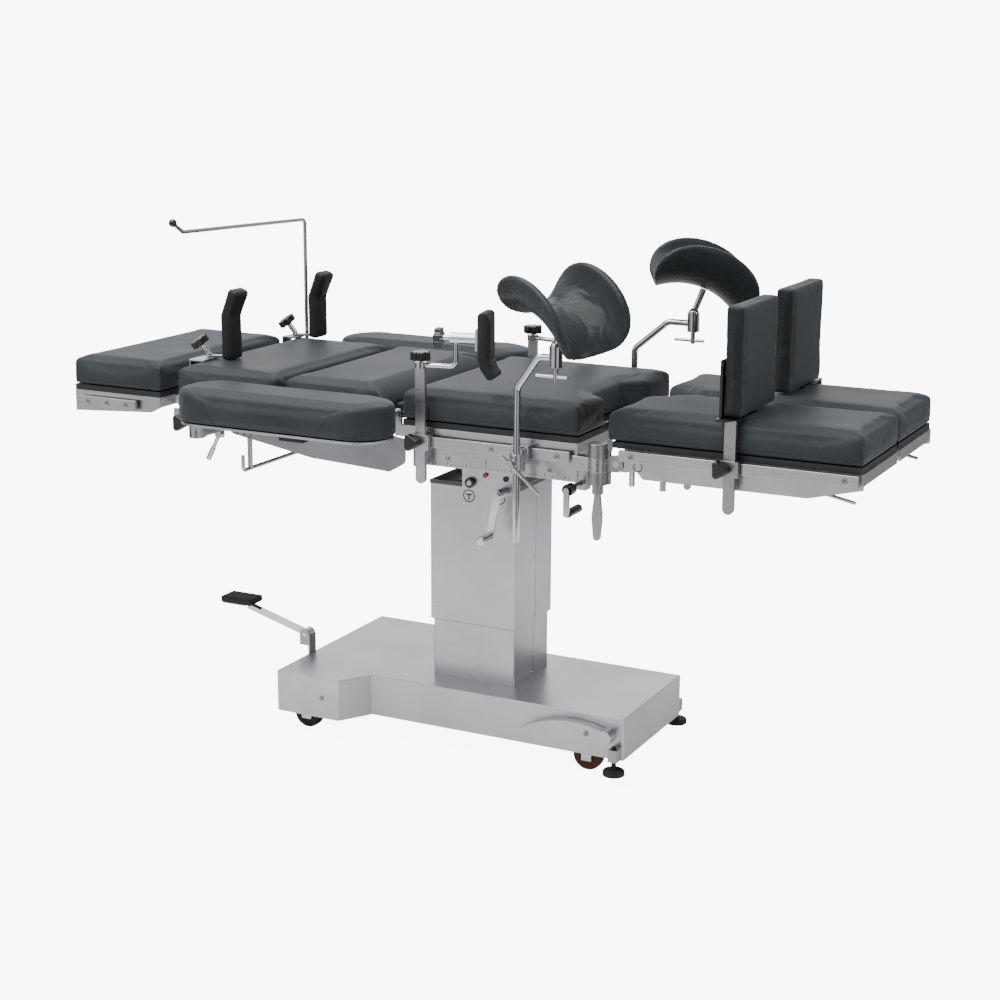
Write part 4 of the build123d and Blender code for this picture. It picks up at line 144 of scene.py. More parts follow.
links.new(ray.outputs["Is Camera Ray"], choose.inputs["Fac"])
links.new(lit.outputs[0], choose.inputs[1])
links.new(seen.outputs[0], choose.inputs[2])
links.new(choose.outputs[0], out.inputs["Surface"])

# The floor: a round pale sheet, lit up for the camera so far that it melts into
# the white behind it.
floor_mesh = bmesh.new()
bmesh.ops.create_circle(floor_mesh, cap_ends=True, segments=96, radius=2.7)
floor_data = bpy.data.meshes.new("floor")
floor_mesh.to_mesh(floor_data)
floor_mesh.free()
floor = bpy.data.objects.new("floor", floor_data)
bpy.context.scene.collection.objects.link(floor)
floor_paint = bpy.data.materials.new("floor_paint")
floor_paint.use_nodes = True
floor_tree = floor_paint.node_tree
floor_shader = floor_tree.nodes["Principled BSDF"]
floor_shader.inputs["Base Color"].default_value = (0.93, 0.93, 0.935, 1)
floor_shader.inputs["Roughness"].default_value = 0.75
floor_shader.inputs["Emission Color"].default_value = (1, 1, 1, 1)
floor_ray = floor_tree.nodes.new("ShaderNodeLightPath")
floor_glow = floor_tree.nodes.new("ShaderNodeMapRange")
glow_for_lighting = 0.08
glow_for_camera = 8.1
floor_glow.inputs["To Min"].default_value = glow_for_lighting
floor_glow.inputs["To Max"].default_value = glow_for_camera
floor_tree.links.new(floor_ray.outputs["Is Camera Ray"], floor_glow.inputs["Value"])
floor_tree.links.new(floor_glow.outputs["Result"], floor_shader.inputs["Emission Strength"])
floor_data.materials.append(floor_paint)


# The base: a folded cover of brushed stainless sheet over a black steel chassis,
# screwed on from the sides. Its finish is used for all the sheet metal above it.
def effect_group(name, inputs, outputs):
    """A node group with named number inputs and outputs, its two end nodes given back."""
    group = bpy.data.node_groups.new(name, "ShaderNodeTree")
    for socket, value in inputs.items():
        made = group.interface.new_socket(name=socket, in_out="INPUT", socket_type="NodeSocketFloat")
        made.default_value = value
    for socket, kind in outputs.items():
        group.interface.new_socket(name=socket, in_out="OUTPUT", socket_type=kind)
    return group, group.nodes.new("NodeGroupInput"), group.nodes.new("NodeGroupOutput")


def add_node(tree, kind, **values):
    """A node of that kind, with its sockets set by name."""
    made = tree.nodes.new(kind)
    for socket, value in values.items():
        made.inputs[socket.replace("_", " ")].default_value = value
    return made


brush_group, brush_in, brush_out = effect_group(
    "brushed_lines",
    {"Stretch": 60.0, "Fine": 420.0},
    {"Lines": "NodeSocketFloat", "Clouds": "NodeSocketFloat"},
)
spot = brush_group.nodes.new("ShaderNodeTexCoord")
grain_size = brush_group.nodes.new("ShaderNodeCombineXYZ")
brush_group.links.new(brush_in.outputs["Stretch"], grain_size.inputs["X"])
brush_group.links.new(brush_in.outputs["Fine"], grain_size.inputs["Y"])
brush_group.links.new(brush_in.outputs["Fine"], grain_size.inputs["Z"])
stretched = brush_group.nodes.new("ShaderNodeMapping")
brush_group.links.new(spot.outputs["Object"], stretched.inputs["Vector"])
brush_group.links.new(grain_size.outputs[0], stretched.inputs["Scale"])
fine_lines = add_node(brush_group, "ShaderNodeTexNoise", Scale=1.0, Detail=3.0, Roughness=0.6)
brush_group.links.new(stretched.outputs[0], fine_lines.inputs["Vector"])
brush_group.links.new(fine_lines.outputs["Fac"], brush_out.inputs["Lines"])
clouds = add_node(brush_group, "ShaderNodeTexNoise", Scale=5.0, Detail=4.0, Roughness=0.55)
brush_group.links.new(spot.outputs["Object"], clouds.inputs["Vector"])
brush_group.links.new(clouds.outputs["Fac"], brush_out.inputs["Clouds"])


def range_of(tree, source, low, high):
    """Carries a mask from its usual spread to a range of values."""
    usual_low = 0.3
    usual_high = 0.7
    made = tree.nodes.new("ShaderNodeMapRange")
    made.inputs["From Min"].default_value = usual_low
    made.inputs["From Max"].default_value = usual_high
    made.inputs["To Min"].default_value = low
    made.inputs["To Max"].default_value = high
    tree.links.new(source, made.inputs["Value"])
    return made.outputs["Result"]


def two_tone(tree, source, first, second, start=0.3, stop=0.7):
    """A colour between two, following a mask."""
    made = tree.nodes.new("ShaderNodeValToRGB")
    made.color_ramp.elements[0].position = start
    made.color_ramp.elements[0].color = (*first, 1)
    made.color_ramp.elements[1].position = stop
    made.color_ramp.elements[1].color = (*second, 1)
    tree.links.new(source, made.inputs["Fac"])
    return made.outputs["Color"]


def new_finish(name, **values):
    """A material whose plain values are set on its shader's own sockets."""
    made = bpy.data.materials.new(name)
    made.use_nodes = True
    shader = made.node_tree.nodes["Principled BSDF"]
    for socket, value in values.items():
        shader.inputs[socket.replace("_", " ")].default_value = value
    return made, made.node_tree, shader


def brushed_metal(name, dark, light, rough, stretch, fine, height, edge=0.0010):
    """Ground metal: fine lines drawn out along X, clouded in tone, its edges softened."""
    made, tree, shader = new_finish(name, Metallic=1.0)
    grain = tree.nodes.new("ShaderNodeGroup")
    grain.node_tree = brush_group
    grain.inputs["Stretch"].default_value = stretch
    grain.inputs["Fine"].default_value = fine
    tree.links.new(two_tone(tree, grain.outputs["Clouds"], dark, light), shader.inputs["Base Color"])
    tree.links.new(range_of(tree, grain.outputs["Lines"], *rough), shader.inputs["Roughness"])
    bump = add_node(tree, "ShaderNodeBump", Strength=0.25, Distance=height)
    soft_edge = tree.nodes.new("ShaderNodeBevel")
    soft_edge.samples = 4
    soft_edge.inputs["Radius"].default_value = edge
    tree.links.new(grain.outputs["Lines"], bump.inputs["Height"])
    tree.links.new(soft_edge.outputs[0], bump.inputs["Normal"])
    tree.links.new(bump.outputs[0], shader.inputs["Normal"])
    return made


stainless = brushed_metal(
    "brushed_stainless", (0.50, 0.505, 0.515), (0.60, 0.605, 0.615), (0.27, 0.40), 9.0, 900.0, 0.00004
)
machined = brushed_metal(
    "machined_steel", (0.30, 0.305, 0.31), (0.42, 0.425, 0.43), (0.25, 0.42), 160.0, 500.0, 0.00003
)


def black_coat(name, dark, light, rough, coat):
    """A paint or hard plastic with a fine speckle, under a thin clear coat or none."""
    made, tree, shader = new_finish(name, Coat_Weight=coat, Coat_Roughness=0.12)
    spot = tree.nodes.new("ShaderNodeTexCoord")
    speckle = add_node(tree, "ShaderNodeTexNoise", Scale=260.0, Detail=3.0, Roughness=0.6)
    tree.links.new(spot.outputs["Object"], speckle.inputs["Vector"])
    tree.links.new(two_tone(tree, speckle.outputs["Fac"], dark, light), shader.inputs["Base Color"])
    tree.links.new(range_of(tree, speckle.outputs["Fac"], *rough), shader.inputs["Roughness"])
    bump = add_node(tree, "ShaderNodeBump", Strength=0.12, Distance=0.00006)
    tree.links.new(speckle.outputs["Fac"], bump.inputs["Height"])
    tree.links.new(bump.outputs[0], shader.inputs["Normal"])
    return made


chassis_paint = black_coat(
    "chassis_paint", (0.012, 0.012, 0.013), (0.022, 0.022, 0.024), (0.42, 0.55), 0.0
)


def finish_node(name, material):
    """Gives a kept CAD node its finish, on the object's own material slots."""
    for held in nodes[name].material_slots:
        held.material = material


finish_node("base_cover", stainless)
finish_node("base_chassis", chassis_paint)
finish_node("hydraulic_pump", chassis_paint)
finish_node("pedal_mounts", machined)


# The casters: chromed forks with rubber-tyred wheels, the two at the head end
# swivelling, the two at the foot end fixed.
def chrome_plate(name, dark, light, rough):
    """Polished plating with a faint haze and softened edges."""
    made, tree, shader = new_finish(name, Metallic=1.0)
    spot = tree.nodes.new("ShaderNodeTexCoord")
    haze = add_node(tree, "ShaderNodeTexNoise", Scale=18.0, Detail=5.0, Roughness=0.6)
    tree.links.new(spot.outputs["Object"], haze.inputs["Vector"])
    tree.links.new(two_tone(tree, haze.outputs["Fac"], dark, light), shader.inputs["Base Color"])
    tree.links.new(range_of(tree, haze.outputs["Fac"], *rough), shader.inputs["Roughness"])
    soft_edge = tree.nodes.new("ShaderNodeBevel")
    soft_edge.samples = 4
    soft_edge.inputs["Radius"].default_value = 0.0008
    tree.links.new(soft_edge.outputs[0], shader.inputs["Normal"])
    return made


chrome = chrome_plate(
    "polished_chrome", (0.62, 0.625, 0.635), (0.76, 0.765, 0.775), (0.05, 0.11)
)


def rubber(name, dark, light, grain):
    """A dull mottled rubber with a slight grain."""
    made, tree, shader = new_finish(name, Specular_IOR_Level=0.35)
    spot = tree.nodes.new("ShaderNodeTexCoord")
    mottle = add_node(tree, "ShaderNodeTexNoise", Scale=grain, Detail=4.0, Roughness=0.65)
    tree.links.new(spot.outputs["Object"], mottle.inputs["Vector"])
    tree.links.new(two_tone(tree, mottle.outputs["Fac"], dark, light), shader.inputs["Base Color"])
    tree.links.new(range_of(tree, mottle.outputs["Fac"], 0.55, 0.8), shader.inputs["Roughness"])
    bump = add_node(tree, "ShaderNodeBump", Strength=0.3, Distance=0.0002)
    tree.links.new(mottle.outputs["Fac"], bump.inputs["Height"])
    tree.links.new(bump.outputs[0], shader.inputs["Normal"])
    return made


tyre = rubber("tyre_rubber", (0.018, 0.016, 0.016), (0.035, 0.030, 0.028), 140.0)
brown_tyre = rubber("brown_tyre_rubber", (0.065, 0.022, 0.014), (0.110, 0.036, 0.022), 140.0)
finish_node("near_swivel_wheel", tyre)
finish_node("far_swivel_wheel", tyre)
finish_node("fixed_wheels", brown_tyre)
for fork in ("near_caster_fork", "far_caster_fork", "fixed_caster_forks"):
    finish_node(fork, chrome)


# The pedals: a chromed bar with a ribbed rubber tread works the pump, and a
# curved stainless leaf on a cross shaft lowers the two round brake feet.
def loose_parts(node):
    """The separate solids of a CAD node, each as a merged mesh of its own."""
    whole = bmesh.new()
    whole.from_mesh(nodes[node].data)
    bmesh.ops.remove_doubles(whole, verts=whole.verts, dist=0.000002)
    found = []
    reached = set()
    for start in whole.verts:
        if start in reached:
            continue
        reached.add(start)
        island = [start]
        for vertex in island:
            for edge in vertex.link_edges:
                beyond = edge.other_vert(vertex)
                if beyond not in reached:
                    reached.add(beyond)
                    island.append(beyond)
        piece = bmesh.new()
        copied = {vertex: piece.verts.new(vertex.co) for vertex in island}
        for face in dict.fromkeys(face for vertex in island for face in vertex.link_faces):
            piece.faces.new([copied[vertex] for vertex in face.verts])
        found.append(piece)
    whole.free()
    return sorted(found, key=lambda part: -len(part.verts))


def reach(part):
    """Lowest and highest corner of a mesh part."""
    low = Vector([min(v.co[i] for v in part.verts) for i in range(3)])
    high = Vector([max(v.co[i] for v in part.verts) for i in range(3)])
    return low, high


def join_meshes(parts_in):
    """One mesh from several, which are used up."""
    whole = bmesh.new()
    for part in parts_in:
        keep = bpy.data.meshes.new("keep")
        part.to_mesh(keep)
        part.free()
        whole.from_mesh(keep)
        bpy.data.meshes.remove(keep)
    return whole


def place_piece(name, part, body, finishes):
    """Turns a worked mesh into a piece that rides on a body."""
    sharp_from = math.radians(32)
    data = bpy.data.meshes.new(name)
    bmesh.ops.recalc_face_normals(part, faces=part.faces)
    part.to_mesh(data)
    part.free()
    for face in data.polygons:
        face.use_smooth = True
    data.set_sharp_from_angle(angle=sharp_from)
    for finish in finishes:
        data.materials.append(finish)
    made = bpy.data.objects.new(name, data)
    bpy.context.scene.collection.objects.link(made)
    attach(made, body)
    return made


tread_rubber = rubber("tread_rubber", (0.010, 0.010, 0.011), (0.020, 0.020, 0.021), 220.0)
pump_arm, pump_tread = sorted(loose_parts("pump_pedal"), key=lambda part: -reach(part)[1].x)
arm_piece = place_piece("pump_pedal_arm", pump_arm, "pump_lever", [chrome])
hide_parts("pump_pedal")
groove_count = 11
groove_half = 0.0012
groove_depth = 0.0016
low, high = reach(pump_tread)
for step in range(1, groove_count + 1):
    at = low.x + (high.x - low.x) * step / (groove_count + 1)
    for side in (-groove_half, 0.0, groove_half):
        everything = pump_tread.verts[:] + pump_tread.edges[:] + pump_tread.faces[:]
        bmesh.ops.bisect_plane(
            pump_tread, geom=everything, plane_co=(at + side, 0, 0), plane_no=(1, 0, 0)
        )
    for vertex in pump_tread.verts:
        if abs(vertex.co.x - at) < 0.0002 and vertex.co.z > high.z - 0.003:
            vertex.co.z -= groove_depth
place_piece("pump_pedal_tread", pump_tread, "pump_lever", [tread_rubber])
finish_node("brake_pedal", stainless)
finish_node("brake_feet", tread_rubber)


# The column: two sleeves of brushed sheet that slide in each other round a guide
# tube and the hydraulic ram, with the machined head and its dark cap on top.
def part_dressed(name, node, body, finishes, chooser):
    """A CAD node's solids as one piece, each face's finish chosen by its place."""
    found = loose_parts(node)
    for part in found:
        box = reach(part)
        for face in part.faces:
            face.material_index = chooser(face.calc_center_median(), box)
    made = place_piece(name, join_meshes(found), body, finishes)
    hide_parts(node)


for tube in ("lower_column_sleeve", "upper_column_sleeve"):
    finish_node(tube, stainless)
for tube in ("guide_tube", "moving_column", "lift_cylinder", "tilt_cross", "slide_carriage"):
    finish_node(tube, machined)
finish_node("piston_rod", chrome)
cap_black = black_coat("cap_black", (0.015, 0.016, 0.018), (0.03, 0.031, 0.034), (0.35, 0.5), 0.0)


def head_finish(point, box):
    """The cheeks of the head stand above its cap and are left bare."""
    return 0 if box[1].z > 0.68 else 1


part_dressed(
    "column_head_and_cap", "column_head", "lift", [machined, cap_black], head_finish
)


# The screws and seams of the sleeves: small domed heads on the narrow sides, and
# beside them the dark line where each folded sheet closes.
def disc_stack(steps, side_count):
    """A turned part: rings of radius and height along Z, closed at both ends."""
    made = bmesh.new()
    spun = []
    for radius, height in steps:
        spun.append(made.verts.new((radius, 0, height)))
    for start, stop in zip(spun, spun[1:]):
        made.edges.new((start, stop))
    bmesh.ops.spin(
        made, geom=made.verts[:] + made.edges[:], cent=(0, 0, 0), axis=(0, 0, 1),
        angle=math.tau, steps=side_count, use_merge=True,
    )
    bmesh.ops.remove_doubles(made, verts=made.verts, dist=0.000005)
    bmesh.ops.recalc_face_normals(made, faces=made.faces)
    return made


def facing_place(point, direction):
    """The matrix that carries Z to a direction, at a point."""
    return Matrix.Translation(point) @ Vector(direction).to_track_quat("Z", "Y").to_matrix().to_4x4()


def screw_head(point, direction):
    """A small domed screw head with a socket."""
    radius = 0.0032
    rise = 0.0009
    profile = [
        (0, rise * 0.35), (radius * 0.45, rise * 0.35), (radius * 0.5, rise),
        (radius * 0.8, rise * 0.9), (radius, 0.0), (0, -0.0004),
    ]
    head = disc_stack(profile, 20)
    head.transform(facing_place(point, direction))
    return head


def short_bar(point, size):
    """A thin bar with softened edges, at a point."""
    bar = bmesh.new()
    bmesh.ops.create_cube(bar, size=1)
    bmesh.ops.scale(bar, vec=size, verts=bar.verts)
    bmesh.ops.bevel(
        bar, geom=bar.edges[:], offset=min(size) * 0.2, segments=1, profile=0.5,
        affect="EDGES", material=-1,
    )
    bmesh.ops.translate(bar, vec=point, verts=bar.verts)
    return bar


both_sides = (-1, 1)
upper_half_x = 0.117
lower_half_x = 0.111
upper_screws = [
    screw_head((side * upper_half_x, 0.004, z), (side, 0, 0))
    for side in both_sides for z in (0.320, 0.465, 0.630)
]
lower_screws = [
    screw_head((side * lower_half_x, 0.006, z), (side, 0, 0))
    for side in both_sides for z in (0.168, 0.214)
]
lower_screws += [screw_head((0.0, side * 0.096, 0.172), (0, side, 0)) for side in both_sides]
place_piece("upper_sleeve_screws", join_meshes(upper_screws), "lift", [chrome])
place_piece("lower_sleeve_screws", join_meshes(lower_screws), "base", [chrome])
seam_dark = black_coat("seam_shadow", (0.06, 0.06, 0.062), (0.10, 0.10, 0.104), (0.5, 0.6), 0.0)
sleeve_seams = (
    ("upper_sleeve_seams", "lift", upper_half_x, 0.308, 0.654),
    ("lower_sleeve_seams", "base", lower_half_x, 0.161, 0.300),
)
for name, body, half_x, low_z, high_z in sleeve_seams:
    middle_z = (low_z + high_z) / 2
    size = (0.0004, 0.0011, high_z - low_z)
    seams = [short_bar((side * half_x, 0.0095, middle_z), size) for side in both_sides]
    place_piece(name, join_meshes(seams), body, [seam_dark])

# The upper sleeve's edges: a dark felt wiper round its lower end, which rubs along the lower sleeve and
# also stands in as a painted shadow line below the sleeve's edge, and a grey plastic rim round its
# upper end.
# The wiper felt's near-black is partly painted shade: the strip shows as the shadow line under the
# upper sleeve's lower edge.
wiper_felt_and_shadow = black_coat(
    "wiper_felt_and_shadow", (0.020, 0.021, 0.022), (0.035, 0.036, 0.038), (0.75, 0.9), 0.0
)
rim_grey = black_coat(
    "rim_grey_plastic", (0.075, 0.080, 0.082), (0.100, 0.106, 0.108), (0.4, 0.55), 0.0
)
edge_strips = (
    ("sleeve_wiper_and_shadow", wiper_felt_and_shadow, 0.1131, 0.0981, 0.0034, 0.3032, 0.3110),
    ("sleeve_rim", rim_grey, 0.1171, 0.1021, 0.0008, 0.6478, 0.6566),
)
for name, finish, half_x, half_y, thick, low_z, high_z in edge_strips:
    middle_z = (low_z + high_z) / 2
    tall = high_z - low_z
    end_size = (thick, half_y * 2 + thick, tall)
    side_size = (half_x * 2 - thick * 1.02, thick, tall)
    strips = [short_bar((side * half_x, 0, middle_z), end_size) for side in both_sides]
    strips += [short_bar((0, side * half_y, middle_z), side_size) for side in both_sides]
    place_piece(name, join_meshes(strips), "lift", [finish])

# The control panel: a brushed plate with engraved black rings, a red pointer, the
# selector knob and the chromed folding crank with its turned grip.
# This black enamel also paints the shade in the screws' sockets and the shadow rings round their heads,
# further down.
black_enamel_and_painted_shade = black_coat(
    "black_enamel_and_painted_shade", (0.008, 0.008, 0.009), (0.016, 0.016, 0.018), (0.3, 0.42), 0.0
)
pointer_red = black_coat(
    "pointer_red", (0.42, 0.012, 0.010), (0.55, 0.02, 0.016), (0.25, 0.38), 0.4
)
panel_plate, pointer = sorted(
    loose_parts("control_panel"), key=lambda part: -(reach(part)[1] - reach(part)[0]).length
)[:2]
panel_piece = place_piece(
    "control_panel_plate", panel_plate, "tilt", [stainless]
)
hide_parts("control_panel")
place_piece("control_panel_pointer", pointer, "tilt", [pointer_red])


def flat_ring(point, direction, inner, outer, rise=0.0004):
    """A thin raised ring of enamel on a face."""
    sunk = -0.0003
    profile = [(inner, sunk), (inner, rise), (outer, rise), (outer, sunk), (inner, sunk)]
    ring = disc_stack(profile, 48)
    ring.transform(facing_place(point, direction))
    return ring


panel_face = -0.112
near_way = (0, -1, 0)
left_mark = (-0.0044, 0.630)
right_mark = (0.0774, 0.633)
bar_face = panel_face - 0.0002
marks = [
    flat_ring((left_mark[0], panel_face, left_mark[1]), near_way, 0.0132, 0.0158),
    flat_ring((right_mark[0], panel_face, right_mark[1]), near_way, 0.0132, 0.0158),
    short_bar((left_mark[0], bar_face, 0.6335), (0.016, 0.0006, 0.0034)),
    short_bar((left_mark[0], bar_face, 0.6262), (0.0038, 0.0006, 0.012)),
    short_bar((right_mark[0], bar_face, right_mark[1]), (0.006, 0.0006, 0.005)),
    flat_ring((0.095, panel_face, 0.682), near_way, 0.0, 0.007, 0.003),
]
place_piece("control_panel_marks", join_meshes(marks), "tilt", [black_enamel_and_painted_shade])

gloss_black = black_coat(
    "gloss_black_plastic", (0.006, 0.006, 0.007), (0.012, 0.012, 0.013), (0.16, 0.28), 0.35
)
selector_part = loose_parts("selector_knob")[0]
selector_piece = place_piece(
    "selector_knob_body", selector_part, "selector", [gloss_black]
)
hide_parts("selector_knob")
dial = [
    flat_ring((0.001, panel_face - 0.0103, 0.664), near_way, 0.0, 0.0062, 0.0003),
    short_bar((0.001, panel_face - 0.0106, 0.670), (0.0012, 0.0006, 0.006)),
]
place_piece("selector_knob_mark", join_meshes(dial), "selector", [stainless])
finish_node("main_crank", chrome)
finish_node("crank_grip", chrome)


# The cushions: foam blocks in charcoal coated fabric with a fine pebbled grain.
# Each cover is pulled over its block and closed by a level seam round its sides,
# so the tops crown a little and the sides draw in above the base board.
leather_group, leather_in, leather_out = effect_group(
    "pebble_grain",
    {"Grain": 900.0, "Broad": 7.0},
    {"Pebbles": "NodeSocketFloat", "Patches": "NodeSocketFloat"},
)
spot = leather_group.nodes.new("ShaderNodeTexCoord")
cells = leather_group.nodes.new("ShaderNodeTexVoronoi")
cells.feature = "SMOOTH_F1"
leather_group.links.new(spot.outputs["Object"], cells.inputs["Vector"])
leather_group.links.new(leather_in.outputs["Grain"], cells.inputs["Scale"])
patches = add_node(leather_group, "ShaderNodeTexNoise", Detail=5.0, Roughness=0.6)
leather_group.links.new(spot.outputs["Object"], patches.inputs["Vector"])
leather_group.links.new(leather_in.outputs["Broad"], patches.inputs["Scale"])
leather_group.links.new(cells.outputs["Distance"], leather_out.inputs["Pebbles"])
leather_group.links.new(patches.outputs["Fac"], leather_out.inputs["Patches"])


def coated_fabric(name, dark, light, rough, grain, height):
    """A coated cloth: pebbled closely, patched faintly in tone and gloss."""
    made, tree, shader = new_finish(
        name, Specular_IOR_Level=0.17, Sheen_Weight=0.06, Sheen_Roughness=0.5
    )
    cover = tree.nodes.new("ShaderNodeGroup")
    cover.node_tree = leather_group
    cover.inputs["Grain"].default_value = grain
    cover.inputs["Broad"].default_value = 6.0
    patches = cover.outputs["Patches"]
    tree.links.new(two_tone(tree, patches, dark, light, 0.35, 0.65), shader.inputs["Base Color"])
    tree.links.new(range_of(tree, patches, *rough), shader.inputs["Roughness"])
    bump = add_node(tree, "ShaderNodeBump", Strength=0.35, Distance=height)
    tree.links.new(cover.outputs["Pebbles"], bump.inputs["Height"])
    tree.links.new(bump.outputs[0], shader.inputs["Normal"])
    return made


charcoal = coated_fabric(
    "charcoal_coated_fabric", (0.032, 0.036, 0.039), (0.043, 0.048, 0.052), (0.42, 0.52), 760.0, 0.00012
)
charcoal_dark = coated_fabric(
    "charcoal_pad_fabric", (0.018, 0.020, 0.022), (0.026, 0.028, 0.031), (0.42, 0.52), 760.0, 0.00012
)
moulded_skin = coated_fabric(
    "moulded_foam_skin", (0.026, 0.029, 0.031), (0.036, 0.040, 0.043), (0.24, 0.34), 520.0, 0.00006
)
board_black = black_coat(
    "board_black", (0.012, 0.013, 0.014), (0.022, 0.023, 0.025), (0.45, 0.6), 0.0
)


def shape_now(made):
    """The object's mesh with its modifiers applied."""
    return bpy.data.meshes.new_from_object(
        made.evaluated_get(bpy.context.evaluated_depsgraph_get())
    )


def stuffed(name, part, body, fabric, voxel=0.0055, draw=0.0022, cap=0.005):
    """A cover blown up over its foam: remeshed, swollen as cloth, capped and smoothed."""
    held_height = 0.006
    swell_frames = 14
    low, high = reach(part)
    middle = (low + high) / 2
    scale = Vector([(high[i] - low[i] - draw * 2) / (high[i] - low[i]) for i in range(3)])
    for vertex in part.verts:
        offset = vertex.co - middle
        vertex.co = middle + Vector([offset[i] * scale[i] for i in range(3)])
    bmesh.ops.recalc_face_normals(part, faces=part.faces)
    data = bpy.data.meshes.new(name)
    part.to_mesh(data)
    part.free()
    made = bpy.data.objects.new(name, data)
    bpy.context.scene.collection.objects.link(made)
    remesh = made.modifiers.new("even_faces", "REMESH")
    remesh.mode = "VOXEL"
    remesh.voxel_size = voxel
    settle = made.modifiers.new("settle", "SMOOTH")
    settle.factor = 0.5
    settle.iterations = 1
    shaped = shape_now(made)
    made.modifiers.clear()
    made.data = shaped
    before = [vertex.co.copy() for vertex in shaped.vertices]
    held = made.vertex_groups.new(name="held")
    low_down = [vertex.index for vertex in shaped.vertices if vertex.co.z < low.z + held_height]
    held.add(low_down, 1.0, "REPLACE")
    cloth = made.modifiers.new("swell", "CLOTH")
    cloth.settings.quality = 4
    cloth.settings.use_pressure = True
    cloth.settings.uniform_pressure_force = 3.0
    cloth.settings.effector_weights.gravity = 0
    cloth.settings.tension_stiffness = 25
    cloth.settings.compression_stiffness = 25
    cloth.settings.vertex_group_mass = "held"
    cloth.collision_settings.use_collision = False
    for step in range(1, swell_frames + 1):
        bpy.context.scene.frame_set(step)
    blown = shape_now(made)
    moved = [vertex.co.copy() for vertex in blown.vertices]
    bpy.data.meshes.remove(blown)
    made.modifiers.clear()
    made.vertex_groups.clear()
    for vertex, first, last in zip(shaped.vertices, before, moved):
        way = last - first
        if way.length > cap:
            way = way.normalized() * cap
        vertex.co = first + way
    for face in shaped.polygons:
        face.use_smooth = True
    shaped.materials.clear()
    shaped.materials.append(fabric)
    finer = made.modifiers.new("finer", "SUBSURF")
    finer.levels = 1
    finer.render_levels = 1
    shown = shape_now(made)
    made.modifiers.clear()
    made.data = shown
    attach(made, body)
    return made


def sewn_seam(piece, point, normal, width=0.0022, depth=0.0014, test=None):
    """A sewn line: the cover is cut along a plane and drawn in a little along it."""
    work = bmesh.new()
    work.from_mesh(piece.data)
    normal = Vector(normal).normalized()
    point = Vector(point)
    for away in (-width, 0.0, width):
        faces = [face for face in work.faces if test is None or test(face.calc_center_median())]
        edges = list(dict.fromkeys(edge for face in faces for edge in face.edges))
        verts = list(dict.fromkeys(vertex for face in faces for vertex in face.verts))
        bmesh.ops.bisect_plane(
            work, geom=verts + edges + faces, plane_co=point + normal * away, plane_no=normal,
            dist=0.00001,
        )
    work.normal_update()
    for vertex in work.verts:
        if abs((vertex.co - point).dot(normal)) < 0.00005 and (test is None or test(vertex.co)):
            vertex.co -= vertex.normal * depth
    work.to_mesh(piece.data)
    work.free()
    for face in piece.data.polygons:
        face.use_smooth = True


def welt(piece, z):
    """The level seam round a cushion where its top cover meets its side band."""
    sewn_seam(piece, (0, 0, z), (0, 0, 1), width=0.0018, depth=0.0012)


cushions = (
    ("seat_cushion", "seat"), ("chest_cushion", "back"), ("loin_cushion", "back"),
    ("head_cushion", "head"), ("near_leg_cushion", "near_leg"), ("far_leg_cushion", "far_leg"),
)
for node, body in cushions:
    pad = stuffed(node + "_cover", loose_parts(node)[0], body, charcoal)
    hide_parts(node)
    welt(pad, 0.852)


# The frames of the sections: folded and welded stainless plate with ground rails
# and a black laminate board on top that the cushion is fixed to.
rail_steel = brushed_metal(
    "ground_rail_steel", (0.52, 0.525, 0.535), (0.64, 0.645, 0.655), (0.18, 0.28), 6.0, 1100.0,
    0.00002, 0.0024,
)


def frame_finish(point, box):
    """Black for the board, ground steel for what stands outside the side plates."""
    low, high = box
    if low.z > 0.8235 and high.z < 0.8385:
        return 1
    return 2 if min(abs(low.y), abs(high.y)) > 0.269 else 0


frame_finishes = [stainless, board_black, rail_steel]
for body in ("seat", "back", "head", "near_leg", "far_leg"):
    node = body + "_frame"
    part_dressed(node + "_plates", node, body, frame_finishes, frame_finish)
finish_node("near_leg_knuckle", machined)
finish_node("far_leg_knuckle", machined)

# The sides of the top: ground stainless rails, the black knob of the head lock on
# the near back rail, and the covers of the lifting gear in darker satin metal.
cover_metal = brushed_metal(
    "satin_cover_metal", (0.26, 0.265, 0.275), (0.35, 0.355, 0.365), (0.38, 0.52), 9.0, 700.0, 0.00003
)
finish_node("back_side_covers", cover_metal)
finish_node("seat_side_rails", rail_steel)
finish_node("back_lever", chrome)


def back_rail_finish(point, box):
    """Black for the head lock's knob, at the head end below the near rail's middle."""
    return 1 if point.x < -0.69 and point.y < -0.2908 and point.z < 0.797 else 0


part_dressed(
    "back_side_rails_bars", "back_side_rails", "back", [rail_steel, gloss_black],
    back_rail_finish,
)


# The screws of the rails and of the base cover: their steel heads, each sunk in a countersink, are not
# drawn; only painted shade in black enamel is, a disc for the shade in each socket and a thin ring for
# the shadow round each head.
def painted_screw_shade(x, face_y, z, side, radius):
    """Painted shade of a screw: a black disc for the shade in its socket and a thin ring for the shadow
    round its head.
    """
    foot = (x, side * face_y, z)
    way = (0, side, 0)
    return [
        flat_ring(foot, way, 0.0, radius * 0.42, 0.00025),
        flat_ring(foot, way, radius * 0.82, radius * 1.06, 0.0002),
    ]


